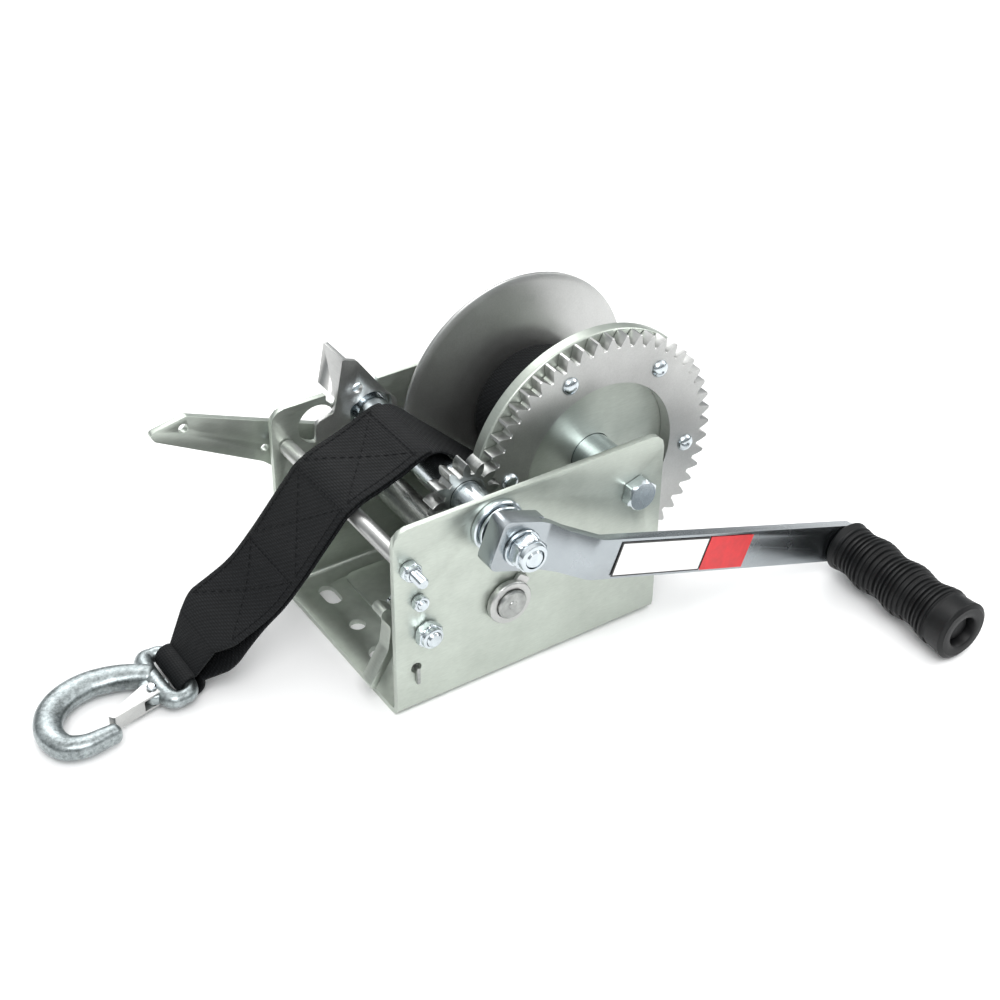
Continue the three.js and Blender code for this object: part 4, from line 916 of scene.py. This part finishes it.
# ---- gears and reel ----
def tooth_outline(teeth, module, thin, flank=7, tip=3):
    """Polar outline of a spur gear with pressure angle 25 degrees. On a flank the half tooth angle at
    radius r is a
    quarter pitch plus inv(pitch) minus inv(r), where inv(r) is tan(a) - a and cos(a) is base over r."""
    pitch = module * teeth / 2.0
    outer = pitch + module
    root = pitch - 1.25 * module
    base = pitch * math.cos(math.radians(25))

    def unwound(r):
        a = np.arccos(np.clip(base / r, -1.0, 1.0))
        return np.tan(a) - a

    start = max(base, root + 0.3)
    r = np.linspace(start, outer, flank)
    half = np.pi / 2.0 / teeth - thin / 2.0 / pitch + unwound(pitch) - unwound(r)
    r = np.concatenate([[root, root + 0.05], r])
    half = np.concatenate([[half[0] + 0.9 / root, half[0] + 0.3 / root], half])
    top = np.linspace(-half[-1], half[-1], tip + 2)[1:-1]
    radius_all = np.concatenate([r, np.full(tip, outer), r[::-1]])
    angle_all = np.concatenate([-half, top, half[::-1]])
    return radius_all, angle_all


def gear_mesh(name, middle, teeth, turn, low, high, bore, thin, module=2.8, chamfer=0.35, recess=None):
    """Tooth outline carried through chamfered faces: bore, face, chamfer, flank, chamfer, face, bore."""
    r, a = tooth_outline(teeth, module, thin)
    step = 2.0 * np.pi / teeth
    angle = (turn + step * np.arange(teeth)[:, None] + a[None, :]).ravel()
    outline = np.tile(r, teeth)
    web = np.full(len(outline), (module * teeth / 2.0 - 1.25 * module) - 1.5)
    levels = [(np.full(len(outline), bore), low), (web, low), (outline - chamfer, low), (outline,
        low + chamfer),
              (outline, high - chamfer), (outline - chamfer, high), (web, high), (np.full(len(outline),
              bore), high)]
    if recess:
        width, depth = recess
        dish = np.full(len(outline), bore + width)
        levels[0] = (np.full(len(outline), bore), low + depth)
        levels.insert(1, (dish, low + depth))
        levels.insert(2, (dish + depth, low))
    points = np.stack([
        np.stack([middle[0] + reach * np.cos(angle), np.full(len(angle), y),
            middle[1] + reach * np.sin(angle)], -1)
        for reach, y in levels])
    return grid_mesh(name, points, True, True, sharp=math.radians(28))


def meshing_turn(driver_turn, driver_teeth, follower_teeth, angle):
    """Turn of a gear that puts a gap on the line of centres where the driver has a tooth."""
    offset = math.fmod((angle - driver_turn) / (2 * math.pi / driver_teeth), 1.0)
    return angle + math.pi + (offset + 0.5) * 2 * math.pi / follower_teeth


class WINCH_OT_gears(bpy.types.Operator):
    """Reel gear, drive pinion, layshaft gear and layshaft pinion"""
    bl_idname = "winch.gears"
    bl_label = "Gears"

    def execute(self, context):
        to_drive = math.atan2(DRIVE[1] - AXLE[1], DRIVE[0] - AXLE[0])
        to_lay = math.atan2(LAY[1] - AXLE[1], LAY[0] - AXLE[0]) + 2 * math.pi
        gears = [
            ("reel_gear", AXLE, 50, 0.0, 46.0, "reel", None),
            ("drive_pinion", DRIVE, 12, meshing_turn(0.0, 50, 12, to_drive), 9.3, "drive", (1.2, 0.8)),
            ("layshaft_pinion", LAY, 12, meshing_turn(0.0, 50, 12, to_lay), 8.6, "layshaft", None),
            ("layshaft_gear", LAY, 24, 0.1, 8.6, "layshaft", (4.0, 1.0)),
        ]
        for node, middle, teeth, turn, bore, body, recess in gears:
            low, high = along_y(node)
            piece = gear_mesh(node + "_cut", middle, teeth, turn, low, high, bore, 0.4, recess=recess)
            finish_piece(piece, body, "flange_steel" if body == "reel" else "dark_steel",
                [node])
        return {"FINISHED"}


class WINCH_OT_reel(bpy.types.Operator):
    """Drum and the two pressed flanges with rolled rims"""
    bl_idname = "winch.reel"
    bl_label = "Reel"

    def execute(self, context):
        low, high = along_y("reel_flange_near")
        r = radius("reel_flange_near")
        t = 2.3
        lip = [(r - 1.2 + 1.2 * math.sin(a), low + 1.2 - 1.2 * math.cos(a)) for a in np.linspace(0,
            math.pi / 2, 7)]
        profile = [(12.6, low), (30.0, low), (r - 4.0, low)] + lip
        profile += [(r, high - 0.6), (r - 0.5, high), (r - t + 0.4, high), (r - t, high - 0.5), (r - t,
            low + t + 1.4),
                    (r - t - 1.4, low + t), (30.0, low + t), (12.6, low + t)]
        finish_piece(spun("reel_flange_near_pressed", profile, AXLE, segments=160), "reel",
            "zinc_sheet",
                     ["reel_flange_near"])
        low, high = along_y("reel_flange_far")
        r = radius("reel_flange_far")
        face = np.array([[12.6, 0.0], [40.0, 0.0], [45.0, 0.1], [48.0, 0.5], [52.0, 1.3], [60.0, 3.1],
            [68.0, 4.9],
                         [r - 0.9, 5.7]])
        back = face[::-1].copy()
        back[:, 1] += t
        rim = np.array([[r - 0.1, 6.2], [r, 6.9], [r - 0.1, 7.6], [r - 0.5, high - low - 0.1]])
        profile = np.vstack([face, rim, back])
        profile[:, 1] += low
        finish_piece(spun("reel_flange_far_pressed", profile, AXLE, segments=160), "reel",
                     "flange_steel", ["reel_flange_far"])
        low, high = along_y("reel_drum")
        near = span("reel_flange_near")[0][1] + t + 0.3
        far = span("reel_flange_far")[0][1] - 0.3
        profile = [(8.4, low), (11.8, low), (12.3, low + 0.5), (12.3, near), (20.0, near), (20.0, far),
            (12.3, far),
                   (12.3, high - 0.5), (11.8, high), (8.4, high)]
        finish_piece(spun("reel_drum_turned", profile, AXLE), "reel", "bright_steel",
            ["reel_drum"])
        return {"FINISHED"}


# ---- grip and label ----
class WINCH_OT_grip(bpy.types.Operator):
    """Ribbed rubber grip"""
    bl_idname = "winch.grip"
    bl_label = "Grip"

    def execute(self, context):
        low, high = along_y("grip")
        length = high - low
        ridge = settings().grip_ridge / MM
        t = np.linspace(0.0, 1.0, 520)
        angle = np.linspace(0.0, 2.0 * np.pi, 96, endpoint=False)
        wave = 0.9 * np.cos(2.0 * np.pi * (t * 3.6 + 0.05)) * np.where(t < 0.85, 1.0, 0.3)
        flare = 2.6 * np.clip((t - 0.7) / 0.3, 0.0, 1.0) ** 1.6
        base = 14.1 + 0.7 * t + wave + flare
        base *= 1.0 - 0.12 * (1.0 - smoothstep(t, 0.0, 0.02)) - 0.16 * smoothstep(t, 0.975, 1.0) ** 2
        ribbed = smoothstep(t, 0.05, 0.08) * (1.0 - smoothstep(t, 0.84, 0.87))
        rings = ridge * np.clip(np.cos(2.0 * np.pi * t * 28.0) * 2.2, -1.0, 1.0) * ribbed
        under = smoothstep(-np.sin(angle + 0.35), 0.55, 0.75)
        notch = 0.8 * (np.cos(2.0 * np.pi * t * 14.0) > 0.72) * ribbed
        reach = base[:, None] + rings[:, None] * (1.0 - under)[None, :] - notch[:, None] * under[None,
            :] * 0.9
        points = np.stack([
            PIN[0] + reach * np.cos(angle)[None, :],
            np.repeat((high - t * length)[:, None], 96, axis=1),
            PIN[1] + reach * np.sin(angle)[None, :],
        ], axis=-1)
        mouth = []
        for r, y in ((12.4, low), (9.6, low), (8.8, low + 0.8), (8.6, low + 7.6), (5.4, low + 7.7), (5.4,
            high),
                     (11.4, high)):
            mouth.append(np.stack([PIN[0] + r * np.cos(angle), np.full(96, y), PIN[1] + r * np.sin(angle)],
                -1))
        piece = grid_mesh("grip_moulded", np.concatenate([points, np.array(mouth)]), True, True,
            sharp=math.radians(50))
        finish_piece(piece, "grip", "rubber", ["grip"])
        return {"FINISHED"}


def label_panel(name, start, end, half, lift, material, nodes=()):
    """Thin film on the arm's front: the arm's line from the hub to the grip, and a lift off its face
    that falls
    evenly along it."""
    heading = (PIN - DRIVE) / np.linalg.norm(PIN - DRIVE)
    across = np.array([-heading[1], heading[0]])
    low, high = along_y("crank_label")
    u = np.linspace(start, end, 40)
    v = np.linspace(-half, half, 8)
    y = low + (high - 0.4 - low) * (u - 52.0) / 90.0 - lift
    middle = DRIVE + heading * u[:, None]
    front = np.stack([middle[:, 0, None] + across[0] * v, np.repeat(y[:, None], 8, axis=1),
                      middle[:, 1, None] + across[1] * v], axis=-1)
    back = front[:, ::-1].copy()
    back[:, :, 1] += 0.12
    piece = grid_mesh(name, np.concatenate([front, back], axis=1), False, True, sharp=math.radians(30),
        cap_ends=True)
    return finish_piece(piece, "drive", material, nodes)


class WINCH_OT_label(bpy.types.Operator):
    """Plain printed label: a white panel with a black border and a red end panel"""
    bl_idname = "winch.label"
    bl_label = "Label"

    def execute(self, context):
        label_panel("label_border", 50.0, 113.0, 9.8, -0.05, "label_black", ["crank_label"])
        label_panel("label_panel_white", 51.0, 112.0, 8.9, 0.1, "label_white")
        label_panel("label_panel_red", 113.6, 146.0, 9.8, 0.0, "label_red")
        return {"FINISHED"}


class WINCH_PT_panel(bpy.types.Panel):
    bl_label = "Winch"
    bl_idname = "WINCH_PT_panel"
    bl_space_type = "VIEW_3D"
    bl_region_type = "UI"
    bl_category = "Winch"

    def draw(self, context):
        for name in WinchSettings.__annotations__:
            self.layout.prop(context.scene.winch, name)
        for operator in OPERATORS:
            self.layout.operator(operator.bl_idname)


OPERATORS = (
    WINCH_OT_stage, WINCH_OT_strap, WINCH_OT_hook, WINCH_OT_sheet_parts, WINCH_OT_fasteners,
    WINCH_OT_shafts, WINCH_OT_gears, WINCH_OT_reel, WINCH_OT_grip, WINCH_OT_label,
)
CLASSES = (WinchSettings,) + OPERATORS + (WINCH_PT_panel,)


def register():
    for cls in CLASSES:
        bpy.utils.register_class(cls)
    bpy.types.Scene.winch = bpy.props.PointerProperty(type=WinchSettings)


def unregister():
    del bpy.types.Scene.winch
    for cls in reversed(CLASSES):
        bpy.utils.unregister_class(cls)


def main():
    register()
    make_materials()
    for step in OPERATORS:
        getattr(bpy.ops.winch, step.bl_idname.split(".")[1])()


if __name__ == "__main__":
    main()
